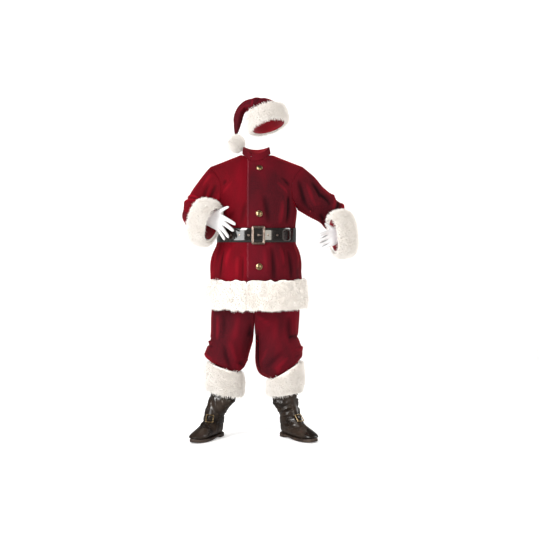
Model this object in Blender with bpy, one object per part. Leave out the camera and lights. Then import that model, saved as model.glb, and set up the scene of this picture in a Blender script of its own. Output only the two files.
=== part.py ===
"""Santa suit: jacket, belt, trousers, hat, gloves and boots, shaped as worn, open at neck, mouth and hem.

Sizes are millimetres and heights are above the floor. Finished points are moved down by HELD, so that
the origin lies at the base of the neck, where the wearer's shoulders carry the suit. The front faces -Y.
"""

import math

import bmesh
import bpy
import numpy as np

# Cloth and the spaces between pieces
HELD = 1500.0
MIDDLE = -3.0
VELVET = 1.8
SEAM = 1.0
CLEAR = 0.2
LAP = 3.2

# Jacket body: half-width and depths at each height
BODY = (
    # height, half, front, back
    (697, 254, 206, 160),
    (785, 250, 206, 158),
    (869, 247, 208, 155),
    (950, 243, 212, 152),
    (1012, 229, 206, 143),
    (1050, 210, 190, 135),
    (1142, 210, 190, 135),
    (1185, 217, 196, 142),
    (1230, 219, 192, 148),
    (1300, 226, 172, 150),
    (1350, 233, 158, 146),
    (1400, 243, 144, 134),
    (1463, 268, 122, 112),
    (1540, 300, 96, 86),
)
ARMPIT = 1230.0
TIP = (250.0, 1463.0)
NECK = (76.0, 1530.0)
SHOULDER_SEAM = 12.0
FRONT_NECK = 1486.0
BACK_NECK = 1518.0
LEFT_NEAR = (-48, -28, 10, 44, 76)
RIGHT_NEAR = (12, 31, 56, 76)
ROW_HEIGHTS = (704, 785, 866, 905, 945, 985, 1020, 1050, 1142, 1185, 1230)
ARMHOLE = (
    # height, half
    (1230, 219),
    (1250, 204),
    (1300, 189),
    (1350, 186),
    (1400, 200),
    (1440, 229),
    (1463, 250),
)
JACKET_FOLDS = (
    # turn, low, high, width, out
    (-20, 868, 1045, 5, -6),
    (-38, 868, 1040, 8, 7),
    (-62, 868, 1040, 9, -8),
    (22, 868, 1045, 7, 6),
    (40, 868, 1040, 8, -8),
    (62, 868, 1045, 9, 8),
    (90, 868, 1030, 9, -6),
    (-90, 868, 1030, 9, 6),
    (-30, 1148, 1290, 9, 7),
    (-58, 1148, 1330, 9, -7),
    (26, 1148, 1300, 9, -6),
    (52, 1148, 1330, 9, 7),
    (120, 868, 1040, 10, 8),
    (150, 868, 1045, 10, -8),
    (180, 868, 1045, 10, 8),
    (210, 868, 1045, 10, -8),
    (240, 868, 1040, 10, 8),
    (128, 1148, 1330, 11, -7),
    (156, 1148, 1300, 10, 7),
    (204, 1148, 1300, 10, 7),
    (232, 1148, 1330, 11, -7),
)
COLLAR_TALL = 38.0
HEM_FUR = {"low": 697.0, "high": 866.0, "thick": 27.0}
BUTTONS = (
    # height, seat on the cloth
    (931.0, 0.1),
    (1208.0, -0.55),
    (1452.0, 0.2),
)
BUTTON_ACROSS = 34.0
BUTTON_TALL = 8.0

# Belt
BELT_LOW = 1058.0
BELT_HIGH = 1133.0
BELT_THICK = 2.6
BELT_START = 12.0
BELT_TAIL = 186.0
BUCKLE = {"x": 9.0, "wide": 71.0, "tall": 97.0, "bar": 12.5, "thick": 5.0}
EYELET_PITCH = 52.0
EYELET_ACROSS = 12.0
EYELET_HOLE = 6.0

# Arms: path of each sleeve with its tall and deep half-widths
RIGHT_ARM = (
    # x, y, z, tall, deep
    (-298, -2, 1267, 84, 72),
    (-317, -26, 1236, 80, 72),
    (-330, -64, 1206, 82, 68),
    (-323, -110, 1187, 80, 62),
    (-292, -152, 1173, 76, 58),
)
LEFT_ARM = (
    # x, y, z, tall, deep
    (300, 10, 1284, 94, 78),
    (346, 30, 1258, 86, 74),
    (390, 44, 1222, 80, 70),
    (426, 48, 1182, 76, 64),
    (456, 34, 1145, 72, 56),
    (474, -10, 1118, 70, 50),
    (473, -58, 1106, 70, 49),
    (450, -100, 1100, 72, 52),
)
RIGHT_CUFF = {
    "middle": (-276, -169, 1164),
    "axis": (0.87, -0.42, -0.27),
    "long": 112,
    "tall": 131,
    "deep": 99,
    "bore_tall": 86,
    "bore_deep": 70,
}
LEFT_CUFF = {
    "middle": (455, -120, 1101),
    "axis": (-0.96, -0.24, -0.13),
    "long": 112,
    "tall": 134,
    "deep": 108,
    "bore_tall": 88,
    "bore_deep": 78,
}
CUFF_BACK = 0.66
SLEEVE_FOLDS = (
    # along, turn, long, wide, out
    (0.0, 0, 0.06, 70, -5),
    (0.14, 30, 0.06, 80, 5),
    (0.28, -30, 0.06, 80, -7),
    (0.4, 40, 0.05, 80, 6),
    (0.52, 0, 0.05, 90, -7),
    (0.14, 180, 0.07, 60, -5),
    (0.3, 200, 0.06, 60, 5),
    (0.45, 180, 0.06, 60, -5),
)
SLEEVE_ROWS = 13
FAN_ROWS = 3
ARMHOLE_ROWS = 7

# Trousers: outer and inner edge of each leg, then its front and back, at each height
RIGHT_LEG = (
    # height, outer, inner, front, back
    (300, -254.5, -101.5, 84, 84),
    (380, -254.5, -101.5, 84, 84),
    (390, -257, -97, 88, 88),
    (399, -272, -78, 106, 106),
    (420, -280, -62, 117, 116),
    (455, -277, -50, 123, 121),
    (490, -262, -38, 121, 122),
    (535, -254, -22, 122, 126),
    (590, -250, -16, 128, 130),
    (650, -250, -15.5, 136, 136),
    (720, -243, -16, 150, 142),
    (820, -232, -16, 160, 140),
    (930, -216, -16, 166, 130),
    (1000, -200, -16, 160, 118),
)
LEFT_LEG = (
    # height, outer, inner, front, back
    (284, 228.5, 76.5, 84, 84),
    (362, 228.5, 76.5, 84, 84),
    (372, 231, 71, 88, 88),
    (380, 244, 42, 107, 107),
    (398, 246, 8, 120, 117),
    (436, 244, -8, 126, 121),
    (476, 232, -12, 124, 123),
    (530, 226, -7, 124, 126),
    (590, 226, -12, 128, 130),
    (650, 230, -12, 136, 136),
    (720, 232, -12, 150, 142),
    (820, 224, -12, 160, 140),
    (930, 210, -12, 166, 130),
    (1000, 195, -12, 160, 118),
)
CROTCH = 562.0
SEAT = 720.0
LEG_MIDDLE = -14.0
WAIST = {"low": 1000.4, "high": 1036.0, "left": 208.6, "right": 185.6, "front": 160.0, "back": 118.0}
LEG_FOLDS = (
    # turn, height, tall, wide, out
    (20, 470, 26, 50, 6),
    (-30, 500, 22, 40, -5),
    (60, 520, 24, 40, -6),
    (10, 560, 28, 50, -5),
    (-50, 450, 20, 40, 4),
    (40, 640, 60, 16, 5),
    (-10, 660, 70, 16, -5),
    (150, 470, 26, 50, 6),
    (200, 510, 24, 45, -6),
    (170, 600, 60, 20, 5),
)
LEG_FUR = {
    "right": {
        "middle": -178,
        "low": 236,
        "high": 386,
        "slant_low": 18,
        "slant": 30,
        "half": 111,
        "deep": 114,
    },
    "left": {
        "middle": 152,
        "low": 236,
        "high": 368,
        "slant_low": 12,
        "slant": 54,
        "half": 105,
        "deep": 112,
    },
}
LEG_FUR_BORE = 78.7

# Hat: a fur band tilted to the back and to the wearer's right, and the crown falling over it
HAT_BASE = (64.0, 15.0, 1676.0)
HAT_ROLL = 15.0
HAT_PITCH = -0.25
HAT_BAND = {"tall": 92.0, "across": 92.0, "deep": 105.0, "thick": 27.0}
HAT_CROWN = (
    # lower x, lower z, upper x, upper z, middle y, deep, pitch
    (-56, 1757, 100, 1807, 15, 99, -0.24),
    (-64, 1764, 50, 1829, 17, 86, -0.2),
    (-70, 1764, -6, 1831, 20, 73, -0.15),
    (-75, 1757, -62, 1820, 23, 63, -0.1),
    (-79, 1742, -105, 1785, 26, 55, -0.05),
    (-82, 1714, -125, 1729, 28, 44, 0.0),
    (-89, 1676, -127, 1683, 29, 29, 0.0),
    (-107, 1640, -121, 1640, 30, 8, 0.0),
)
POMPOM = {"x": -114.5, "y": 30.0, "radius": 50.0, "top": 1641.4}

# Gloves: wrist, knuckles, back of the hand, then fingers from the index to the little one
GLOVES = {
    "right": {
        "wrist": (-256, -180, 1185),
        "knuckles": (-190, -198, 1161),
        "back": (-0.17, -0.98, 0.0),
        "thumb": (0.86, -0.24, 0.45),
        "thumb_long": 74.0,
        "fingers": (
            # length, x, y, z
            (82, 0.86, -0.08, -0.5),
            (88, 0.78, -0.06, -0.62),
            (84, 0.58, -0.04, -0.81),
            (68, 0.5, -0.02, -0.86),
        ),
    },
    "left": {
        "wrist": (441, -133, 1096),
        "knuckles": (387, -152, 1080),
        "back": (0.3, -0.95, 0.0),
        "thumb": (-0.72, -0.35, 0.5),
        "thumb_long": 58.0,
        "fingers": (
            # length, x, y, z
            (66, -0.72, -0.5, -0.2),
            (74, -0.84, -0.3, -0.34),
            (72, -0.9, 0.0, -0.34),
            (60, -0.86, 0.2, -0.36),
        ),
    },
}
GLOVE_WALL = 1.2

# Boots: back point and front point of each section from the top down to the toe, and its half-width
BOOT = (
    # station, back, back height, front, front height, half, roundness of the lower half
    (0, -63, 320, 62, 320, 62, 1.0),
    (1, -65, 262, 64, 258, 62, 1.0),
    (2, -69, 202, 68, 194, 72, 1.0),
    (3, -66, 165, 66, 158, 66, 1.0),
    (4, -63, 123, 64, 130, 52, 1.0),
    (5, -68, 80, 78, 112, 45, 0.95),
    (6, -71, 46, 100, 98, 42, 0.85),
    (7, -62, 22, 124, 86, 42, 0.65),
    (8, -15, 20, 146, 76, 43, 0.6),
    (9, 45, 18, 168, 66, 47, 0.6),
    (10, 100, 16, 188, 56, 49, 0.6),
    (11, 150, 14, 206, 46, 45, 0.6),
    (12, 188, 17, 216, 39, 36, 0.6),
    (13, 208, 24, 221, 32, 21, 0.7),
)
SOLE = (
    # along, half, top, bottom
    (-69, 12, 24, 0),
    (-64, 24, 22, 0),
    (-50, 34, 20, 0),
    (-12, 37, 19, 0),
    (-8, 37, 19, 8),
    (45, 39, 18, 8),
    (75, 43, 18, 1),
    (115, 47, 18, 0),
    (155, 45, 18, 0),
    (190, 38, 20, 2),
    (213, 25, 24, 6),
    (222, 11, 27, 12),
)
BOOT_WALL = 2.2
BOOTS = {
    "right": {"x": -232.0, "y": -8.0, "out": -28.0, "lean": 46.0, "buckle": -20.0, "seat": 2.6},
    "left": {"x": 179.0, "y": -8.0, "out": 36.0, "lean": -31.0, "buckle": 0.0, "seat": 2.0},
}
STRAP_STATIONS = (4.35, 4.7, 5.0, 5.3)
STRAP_THICK = 2.4
STRAP_GAP = 1.3
BOOT_BUCKLE = {"wide": 44.0, "tall": 48.0, "bar": 6.0, "thick": 3.4}


# Smooth values between the rows of a table


def ease(value):
    value = np.clip(value, 0.0, 1.0)
    return value * value * (3.0 - 2.0 * value)


def read(table, column, at):
    """The value of a column at a place in the table's first column, on a smooth curve."""
    data = np.array(table, float)
    places = data[:, 0]
    values = data[:, column]
    steps = np.diff(values) / np.diff(places)
    slopes = np.concatenate([steps[:1], (steps[1:] + steps[:-1]) / 2.0, steps[-1:]])
    flat = np.concatenate([[False], steps[1:] * steps[:-1] <= 0.0, [False]])
    slopes = np.where(flat, 0.0, slopes)
    at = np.clip(np.asarray(at, float), places[0], places[-1])
    row = np.clip(np.searchsorted(places, at, side="right") - 1, 0, len(places) - 2)
    span = places[row + 1] - places[row]
    t = (at - places[row]) / span
    start = (1 + 2 * t) * (1 - t) ** 2 * values[row] + t * (1 - t) ** 2 * span * slopes[row]
    end = t * t * (3 - 2 * t) * values[row + 1] + t * t * (t - 1) * span * slopes[row + 1]
    return start + end


def unit(vectors):
    vectors = np.asarray(vectors, float)
    return vectors / np.maximum(np.linalg.norm(vectors, axis=-1, keepdims=True), 1e-9)


# Materials and meshes


def finish(name, colour, roughness, metallic=0.0, coat=0.0, sheen=0.0):
    material = bpy.data.materials.new(name)
    material.use_nodes = True
    shader = material.node_tree.nodes["Principled BSDF"]
    shader.inputs["Base Color"].default_value = (*colour, 1.0)
    shader.inputs["Roughness"].default_value = roughness
    shader.inputs["Metallic"].default_value = metallic
    shader.inputs["Coat Weight"].default_value = coat
    shader.inputs["Sheen Weight"].default_value = sheen
    return material


def place(name, points, faces, material, smooth=True):
    """One object in metres, its faces turned outward."""
    points = (np.asarray(points, float) - (0.0, 0.0, HELD)) / 1000.0
    mesh = bpy.data.meshes.new(name)
    mesh.from_pydata(points.tolist(), [], faces)
    shape = bmesh.new()
    shape.from_mesh(mesh)
    if shape.calc_volume(signed=True) < 0.0:
        bmesh.ops.reverse_faces(shape, faces=shape.faces)
    shape.to_mesh(mesh)
    shape.free()
    for polygon in mesh.polygons:
        polygon.use_smooth = smooth
    mesh.materials.append(material)
    made = bpy.data.objects.new(name, mesh)
    bpy.context.scene.collection.objects.link(made)
    return made


def normals_of(grid, around):
    """Outward directions of a grid whose columns run to the right and whose rows run upward."""
    if around:
        across = np.roll(grid, -1, axis=1) - np.roll(grid, 1, axis=1)
    else:
        across = np.gradient(grid, axis=1)
    return unit(np.cross(unit(across), unit(np.gradient(grid, axis=0))))


def cells(rows, columns, around, offset=0, turned=False):
    """Two triangles for each cell of a grid, cut the same way on both faces of a wall."""
    faces = []
    for row in range(rows - 1):
        for column in range(columns if around else columns - 1):
            right = (column + 1) % columns
            a = offset + row * columns + column
            b = offset + row * columns + right
            c = offset + (row + 1) * columns + right
            d = offset + (row + 1) * columns + column
            for face in ([a, b, c], [a, c, d]):
                faces.append(face[::-1] if turned else face)
    return faces


def wall(name, grid, thick, material, around=False, inner=None):
    """A cloth wall: the grid is its outer face and the thickness goes inward, or to a given inner face."""
    grid = np.asarray(grid, float)
    rows, columns = grid.shape[:2]
    if inner is None:
        inner = grid - normals_of(grid, around) * thick
    count = rows * columns
    faces = cells(rows, columns, around) + cells(rows, columns, around, count, True)
    for row, outward in ((0, False), (rows - 1, True)):
        for column in range(columns if around else columns - 1):
            a = row * columns + column
            b = row * columns + (column + 1) % columns
            edge = [a, b, b + count, a + count]
            faces.append(edge if outward else edge[::-1])
    if not around:
        for column, outward in ((0, True), (columns - 1, False)):
            for row in range(rows - 1):
                a = row * columns + column
                b = (row + 1) * columns + column
                edge = [a, b, b + count, a + count]
                faces.append(edge if outward else edge[::-1])
    points = np.concatenate([grid.reshape(-1, 3), inner.reshape(-1, 3)])
    return place(name, points, faces, material)


def split_tube(names, grid, thick, material):
    """A tube of cloth in two pieces, sewn along its first column and along the column opposite."""
    inner = grid - normals_of(grid, True) * thick
    count = grid.shape[1]
    halves = (list(range(count // 2 + 1)), list(range(count // 2, count)) + [0])
    for name, columns in zip(names, halves):
        faces = []
        for face in (grid[:, columns], inner[:, columns]):
            face = face.copy()
            face[:, 0] += unit(face[:, 1] - face[:, 0]) * CLEAR
            face[:, -1] += unit(face[:, -2] - face[:, -1]) * CLEAR
            faces.append(face)
        wall(name, faces[0], thick, material, inner=faces[1])


def swept(name, sections, material, closed, smooth=True):
    """A solid through closed sections, joined end to end or capped."""
    sections = np.asarray(sections, float)
    count, around = sections.shape[:2]
    faces = []
    for one in range(count if closed else count - 1):
        other = (one + 1) % count
        for point in range(around):
            beside = (point + 1) % around
            faces.append(
                [
                    one * around + point,
                    one * around + beside,
                    other * around + beside,
                    other * around + point,
                ]
            )
    if not closed:
        faces.append(list(range(around))[::-1])
        faces.append([(count - 1) * around + point for point in range(around)])
    return place(name, sections.reshape(-1, 3), faces, material, smooth)


# The jacket's surface


def shoulder_height(x):
    slope = (TIP[1] - NECK[1]) / (TIP[0] - NECK[0])
    return np.where(np.abs(x) > NECK[0], NECK[1] + slope * (np.abs(x) - NECK[0]), NECK[1] + 5.0)


def body(turn, height, out=0.0, folds=True):
    """A point of the jacket, turned in degrees from the middle of the front to the wearer's left."""
    turn, height = np.broadcast_arrays(np.asarray(turn, float), np.asarray(height, float))
    angle = np.radians(turn)
    half = read(BODY, 1, height)
    depth = np.where(np.cos(angle) > 0.0, read(BODY, 2, height), read(BODY, 3, height))
    x = half * np.sin(angle)
    y = -depth * np.cos(angle)
    swell = out + 0.0 * x
    for where, low, high, wide, deep in JACKET_FOLDS if folds else ():
        away = (turn - where + 180.0) % 360.0 - 180.0
        reach = 1.0 - ((height - (low + high) / 2.0) / ((high - low) / 2.0)) ** 2
        swell = swell + deep * np.clip(reach, 0.0, 1.0) * np.exp(-((away / wide) ** 2))
    straight = unit(np.stack([np.sin(angle) / half, -np.cos(angle) / depth], axis=-1))
    x = x + swell * straight[..., 0]
    y = y + swell * straight[..., 1]
    rise = np.clip((height - ARMPIT) / (shoulder_height(x) - ARMPIT), 0.0, 1.0)
    full = np.sqrt(1.0 - rise**3.2)
    y = SHOULDER_SEAM * (1.0 - full) + y * full
    return np.stack([x + MIDDLE, y, height], axis=-1)


def turn_at(x, height):
    return np.degrees(np.arcsin(np.clip(x / read(BODY, 1, height), -1.0, 1.0)))


def neckline(x, lowest):
    return lowest + (NECK[1] - lowest) * np.abs(x / NECK[0]) ** 2.2


def half_panel(near, rest, neck_low):
    """Turns and heights of half the body, rows upward and columns from its middle edge to the side.

    The near columns stand at fixed distances from the middle; the rest spread to the side.
    """
    near = np.array(near, float)
    even = np.arange(1, rest + 1) / rest
    seam = NECK[0] + (TIP[0] - NECK[0]) * even
    top_x = np.concatenate([near, seam])
    top_z = np.concatenate([neckline(near, neck_low), shoulder_height(seam)])
    top_turn = turn_at(top_x, top_z)
    top_share = (top_turn - top_turn[-rest - 1])[-rest:] / (top_turn[-1] - top_turn[-rest - 1])
    turns = []
    heights = []
    for height in ROW_HEIGHTS[:-1]:
        row = np.full(len(top_x), float(height))
        start = turn_at(near, height)
        turns.append(np.concatenate([start, start[-1] + (90.0 - start[-1]) * even]))
        heights.append(row)
    for step in range(ARMHOLE_ROWS + 1):
        t = 1.0 - (1.0 - step / ARMHOLE_ROWS) ** 1.6
        row = ARMPIT + (top_z - ARMPIT) * t
        start = turn_at(near, row[: len(near)])
        hole = turn_at(read(ARMHOLE, 1, row[-1]), row[-1])
        share = even + (top_share - even) * t
        turns.append(np.concatenate([start, start[-1] + (hole - start[-1]) * share]))
        heights.append(row)
    return np.array(turns), np.array(heights)


def front_left():
    turns, heights = half_panel(LEFT_NEAR, 6, FRONT_NECK)
    return body(turns, heights)


def front_right(lap=LAP):
    """The under front: its inner edge lies lower by LAP, below the wearer's left front."""
    turns, heights = half_panel(RIGHT_NEAR, 7, FRONT_NECK)
    under = np.zeros(turns.shape)
    under[:, :3] = -lap * (1.0 + 2.4 * ease((heights[:, :3] - 1330.0) / 150.0))
    return body(-turns, heights, under)[:, ::-1]


def back_whole():
    turns, heights = half_panel((0, 38, 76), 6, BACK_NECK)
    left = body(180.0 - turns, heights)
    right = body(180.0 + turns, heights)
    return np.concatenate([left[:, ::-1], right[:, 1:]], axis=1)


def jacket_panels():
    """The three body panels, drawn apart by SEAM at the side and shoulder seams."""
    left = front_left()
    right = front_right()
    back = back_whole()
    lower = len(ROW_HEIGHTS)
    left[:lower, -1, 1] -= SEAM / 2.0
    right[:lower, 0, 1] -= SEAM / 2.0
    back[:lower, [0, -1], 1] += SEAM / 2.0
    left[-1, len(LEFT_NEAR) - 1 :, 1] -= SEAM
    right[-1, : -len(RIGHT_NEAR) + 1, 1] -= SEAM
    back[-1, :7, 1] += SEAM
    back[-1, -7:, 1] += SEAM
    return left, right, back


def collar_grid():
    left_turns, left_heights = half_panel(LEFT_NEAR, 6, FRONT_NECK)
    right_turns, right_heights = half_panel(RIGHT_NEAR, 7, FRONT_NECK)
    back = back_whole()[-1]
    left = body(left_turns[-1, 1:5], left_heights[-1, 1:5])
    right = body(-right_turns[-1, 1:4], right_heights[-1, 1:4])[::-1]
    base = np.concatenate([left, back[7:10], right])
    middle = np.array([MIDDLE, 0.0, 0.0])
    inward = unit((middle - base) * (1.0, 1.0, 0.0))
    rows = []
    for share in (0.0, 0.5, 1.0):
        lean = 7.0 * share * share
        rows.append(base + inward * (lean - 0.4) + (0.0, 0.0, 1.3 + COLLAR_TALL * share))
    return np.array(rows)


def hem_fur():
    low = HEM_FUR["low"]
    tall = HEM_FUR["high"] - low
    start = float(turn_at(LEFT_NEAR[0], low))
    profile = (
        # share of height, share of thickness
        (0.06, 0.0),
        (0.0, 0.45),
        (0.1, 0.85),
        (0.35, 1.0),
        (0.65, 1.0),
        (0.9, 0.8),
        (1.0, 0.4),
        (0.95, 0.0),
    )
    sections = []
    for turn in np.linspace(start + 0.3, start + 359.7, 33):
        section = [
            body(turn, low + tall * up, 1.8 + HEM_FUR["thick"] * out, False) for up, out in profile
        ]
        sections.append(section)
    return sections


# Round fittings set on a surface


def frame_on(point, beside, above):
    """The outward direction of a surface from a point and two near it, to its right and above."""
    right = unit(beside - point)
    outward = unit(np.cross(right, unit(above - point)))
    return right, outward, np.cross(outward, right)


def turned(name, point, outward, profile, count, material, hollow=False):
    """A solid of revolution on a point: profile rows are radius and distance out."""
    outward = unit(outward)
    right = unit(np.cross((0.0, 0.0, 1.0), outward))
    upward = np.cross(outward, right)
    angles = np.linspace(0.0, 2.0 * math.pi, count, endpoint=False)
    rings = []
    for radius, out in profile:
        ring = point + outward * out
        ring = ring + radius * (np.cos(angles)[:, None] * right + np.sin(angles)[:, None] * upward)
        rings.append(ring)
    return swept(name, rings, material, hollow)


def button(number, height, seat, brass):
    turn = float(turn_at(14.0 - MIDDLE, height))
    point = body(turn, height)
    outward = frame_on(point, body(turn + 4.0, height), body(turn, height + 15.0))[1]
    radius = BUTTON_ACROSS / 2.0
    profile = (
        (radius * 0.94, seat),
        (radius, seat + 1.5),
        (radius * 0.97, 3.6),
        (radius * 0.8, BUTTON_TALL * 0.72),
        (radius * 0.5, BUTTON_TALL * 0.93),
        (radius * 0.2, BUTTON_TALL),
    )
    return turned(f"button_{number}", point, outward, profile, 20, brass)


# Sleeves and their fur cuffs


def transported(centres, start_side):
    """Directions along a path, and two directions across it that turn as little as they can."""
    along = unit(np.gradient(centres, axis=0))
    side = unit(start_side - np.dot(start_side, along[0]) * along[0])
    frames = []
    for direction in along:
        side = unit(side - np.dot(side, direction) * direction)
        frames.append((direction, side, unit(np.cross(direction, side))))
    return frames


def round_section(centre, frame, angles, tall, deep):
    """An oval across a path, with half-width tall where it runs most upright and deep elsewhere."""
    direction, side, other = frame
    spokes = np.cos(angles)[:, None] * side + np.sin(angles)[:, None] * other
    upright = spokes[:, 2] / max(math.sqrt(1.0 - direction[2] ** 2), 0.35)
    reach = deep + (tall - deep) * np.clip(upright, -1.0, 1.0) ** 2
    return centre + spokes * reach[:, None]


def armhole(left_panel, back, side):
    """The armhole from the armpit up the front and down the back."""
    edge = left_panel[:, -1 if side > 0 else 0]
    rear_edge = back[:, 0 if side > 0 else -1]
    front = edge[len(ROW_HEIGHTS) :]
    rear = rear_edge[len(ROW_HEIGHTS) :]
    pit = (edge[len(ROW_HEIGHTS) - 1] + rear_edge[len(ROW_HEIGHTS) - 1]) / 2.0
    top = (front[-1] + rear[-1]) / 2.0
    return np.concatenate([[pit], front[:-1], [top], rear[:-1][::-1]])


def cuff_frame(cuff, side_guess):
    axis = unit(np.array(cuff["axis"], float))
    side = unit(side_guess - np.dot(side_guess, axis) * axis)
    return axis, side, unit(np.cross(axis, side))


def sleeve(hole, path, cuff, side):
    """Rows from the armhole to the cuff's mouth, then the directions at the cuff and the angles.

    The first rows open out like a fan from the armhole to the path's first section.
    """
    path = np.array(path, float)
    axis = unit(np.array(cuff["axis"], float))
    mouth = np.array(cuff["middle"], float) + axis * (cuff["long"] / 2.0 - 7.0)
    count = len(hole)
    stations = np.arange(len(path))
    places = np.linspace(0.0, len(path) - 1.0, SLEEVE_ROWS - FAN_ROWS)
    table = np.concatenate([stations[:, None], path], axis=1)
    centres = np.stack([read(table, column, places) for column in (1, 2, 3)], axis=1)
    centres = np.concatenate([centres, [mouth]])
    tall = np.append(read(table, 4, places), cuff["bore_tall"] - 0.8)
    deep = np.append(read(table, 5, places), cuff["bore_deep"] - 0.8)
    frames = transported(centres, np.array([-0.7 * side, 0.0, -0.7]))
    frames[-1] = cuff_frame(cuff, frames[-1][1])
    angles = -side * np.arange(count) * 2.0 * math.pi / count
    rows = []
    for row, centre in enumerate(centres):
        ring = round_section(centre, frames[row], angles, tall[row], deep[row])
        share = row / (len(centres) - 1.0)
        for where, turn, wide, spread, out in SLEEVE_FOLDS if row < len(centres) - 4 else ():
            away = (np.degrees(angles * -side) - turn + 180.0) % 360.0 - 180.0
            reach = math.exp(-(((share - where) / wide) ** 2)) * np.exp(-((away / spread) ** 2))
            ring = ring + unit(ring - centre) * (out * reach)[:, None]
        rows.append(ring)
    first = hole + unit(rows[0] - hole) * SEAM
    swell = 5.0 * np.sin(np.arange(count) * math.pi / count)[:, None] * (side, 0.0, 0.6)
    fan = []
    for step in range(FAN_ROWS):
        share = step / FAN_ROWS
        fan.append(first + (rows[0] - first) * share + swell * math.sin(math.pi * share))
    return np.array(fan + rows), frames[-1], angles


def cuff_fur(cuff, frame, angles):
    """Sections of the fur band round the cuff's axis, short where the bent arm presses its back."""
    half = cuff["long"] / 2.0
    middle = np.array(cuff["middle"], float)
    direction, side, other = frame
    rear = unit(np.cross((0.0, 0.0, 1.0), direction))
    rear = rear if rear[1] > 0.0 else -rear
    spokes = np.cos(angles)[:, None] * side + np.sin(angles)[:, None] * other
    pressed = CUFF_BACK * ease(1.4 * np.clip(spokes @ rear, 0.0, 1.0))
    profile = (
        # place along the axis, share of the way out
        (-half + 5.0, 0.0),
        (half - 5.0, 0.0),
        (half, 0.3),
        (half - 5.0, 0.72),
        (half * 0.5, 0.98),
        (-half * 0.45, 1.0),
        (-half + 5.0, 0.7),
        (-half, 0.3),
    )
    rings = []
    for station, share in profile:
        tall = cuff["bore_tall"] + 0.2 + (cuff["tall"] - cuff["bore_tall"]) * share
        deep = cuff["bore_deep"] + 0.2 + (cuff["deep"] - cuff["bore_deep"]) * share
        ring = round_section(middle, frame, angles, tall, deep)
        moved = half + (station - half) * (1.0 - pressed)
        rings.append(ring + direction * moved[:, None])
    return np.array(rings).transpose(1, 0, 2)


# Belt: the strap starts under the buckle, goes once round and laps over its own start


INNER_LAYER = 1.4
OUTER_LAYER = INNER_LAYER + BELT_THICK + 0.5


def belt_face(turn, height, out=0.0):
    """A point of the strap's outer face, counted round from its start to its tail."""
    layer = INNER_LAYER + (OUTER_LAYER - INNER_LAYER) * ease((turn - 332.0) / 18.0)
    return body(turn, height, layer + BELT_THICK + out, False)


def belt_strap(material):
    middle = (BELT_LOW + BELT_HIGH) / 2.0
    half = (BELT_HIGH - BELT_LOW) / 2.0
    start = float(turn_at(BELT_START - MIDDLE + 4.0, middle))
    tail = float(turn_at(BELT_TAIL - MIDDLE, middle))
    lapped = np.linspace(start, tail, 8)
    round_waist = np.linspace(tail, 330.0, 26)[1:-1]
    ramp = np.array([330.0, 336.0, 341.0, 346.0, 351.0, 356.0, 361.0])
    turns = np.concatenate([lapped, round_waist, ramp, lapped + 360.0])
    narrow = np.ones(len(turns))
    narrow[-1] = 0.3
    narrow[-2] = 0.97
    rows = [belt_face(turns, middle + half * share * narrow) for share in (-1.0, 0.0, 1.0)]
    strap = wall("belt_strap", np.array(rows), BELT_THICK, material)
    for number, place_on in enumerate(eyelet_places()):
        point, outward = place_on
        drill = turned(f"drill_{number}", point, outward, ((3.3, -6.0), (3.3, 3.0)), 12, material)
        drill.hide_render = True
        drill.display_type = "WIRE"
        cut = strap.modifiers.new(f"hole_{number}", "BOOLEAN")
        cut.object = drill
        cut.operation = "DIFFERENCE"
        cut.solver = "EXACT"
    return strap


def eyelet_places():
    """Points and outward directions of the eyelets, an even pitch along the strap from the prong."""
    middle = (BELT_LOW + BELT_HIGH) / 2.0
    turns = np.linspace(290.0, 400.0, 441)
    path = belt_face(turns, middle)
    run = np.concatenate([[0.0], np.cumsum(np.linalg.norm(np.diff(path, axis=0), axis=1))])
    first = np.interp(360.0 + float(turn_at(BUCKLE["x"] - MIDDLE, middle)), turns, run)
    places = []
    for step in (-3, -2, -1, 0, 1, 2):
        turn = float(np.interp(first + step * EYELET_PITCH, run, turns))
        point = belt_face(turn, middle)
        beside = belt_face(turn + 2.0, middle) - belt_face(turn - 2.0, middle)
        places.append((point, unit(np.cross(unit(beside), (0.0, 0.0, 1.0)))))
    return places


def eyelets(material):
    ring = EYELET_ACROSS / 2.0
    bore = EYELET_HOLE / 2.0 - 0.5
    barrel = 2.85
    profile = (
        (bore, -1.8),
        (barrel, -1.8),
        (barrel, 0.45),
        (ring, 0.45),
        (ring - 0.6, 1.35),
        (bore + 0.7, 1.5),
        (bore, 1.0),
    )
    for number, (point, outward) in enumerate(eyelet_places(), 1):
        turned(f"belt_eyelet_{number}", point, outward, profile, 12, material, True)


def rounded_loop(wide, tall, corner, steps=4):
    """A rectangle with round corners, anticlockwise."""
    points = []
    for x, y, start in ((1, 1, 0), (-1, 1, 90), (-1, -1, 180), (1, -1, 270)):
        for step in range(steps + 1):
            angle = math.radians(start + 90.0 * step / steps)
            across = x * (wide / 2.0 - corner) + corner * math.cos(angle)
            points.append((across, y * (tall / 2.0 - corner) + corner * math.sin(angle)))
    return points


def frame_ring(name, origin, right, outward, sizes, material):
    """A flat frame: a bar of rounded section led round a rectangle."""
    upward = np.cross(outward, right)
    bar = sizes["bar"]
    thick = sizes["thick"]
    outer = rounded_loop(sizes["wide"], sizes["tall"], bar * 0.8)
    inner = rounded_loop(sizes["wide"] - 2.0 * bar, sizes["tall"] - 2.0 * bar, bar * 0.25)
    section = ((0.0, 0.0), (0.0, 0.45), (0.16, 0.86), (0.5, 1.0), (0.84, 0.86), (1.0, 0.45), (1.0, 0.0))
    sections = []
    for one, other in zip(outer, inner):
        points = []
        for share, out in section:
            x = one[0] + (other[0] - one[0]) * share
            y = one[1] + (other[1] - one[1]) * share
            points.append(origin + right * x + upward * y + outward * (thick * out))
        sections.append(points)
    return swept(name, sections, material, True)


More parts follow.
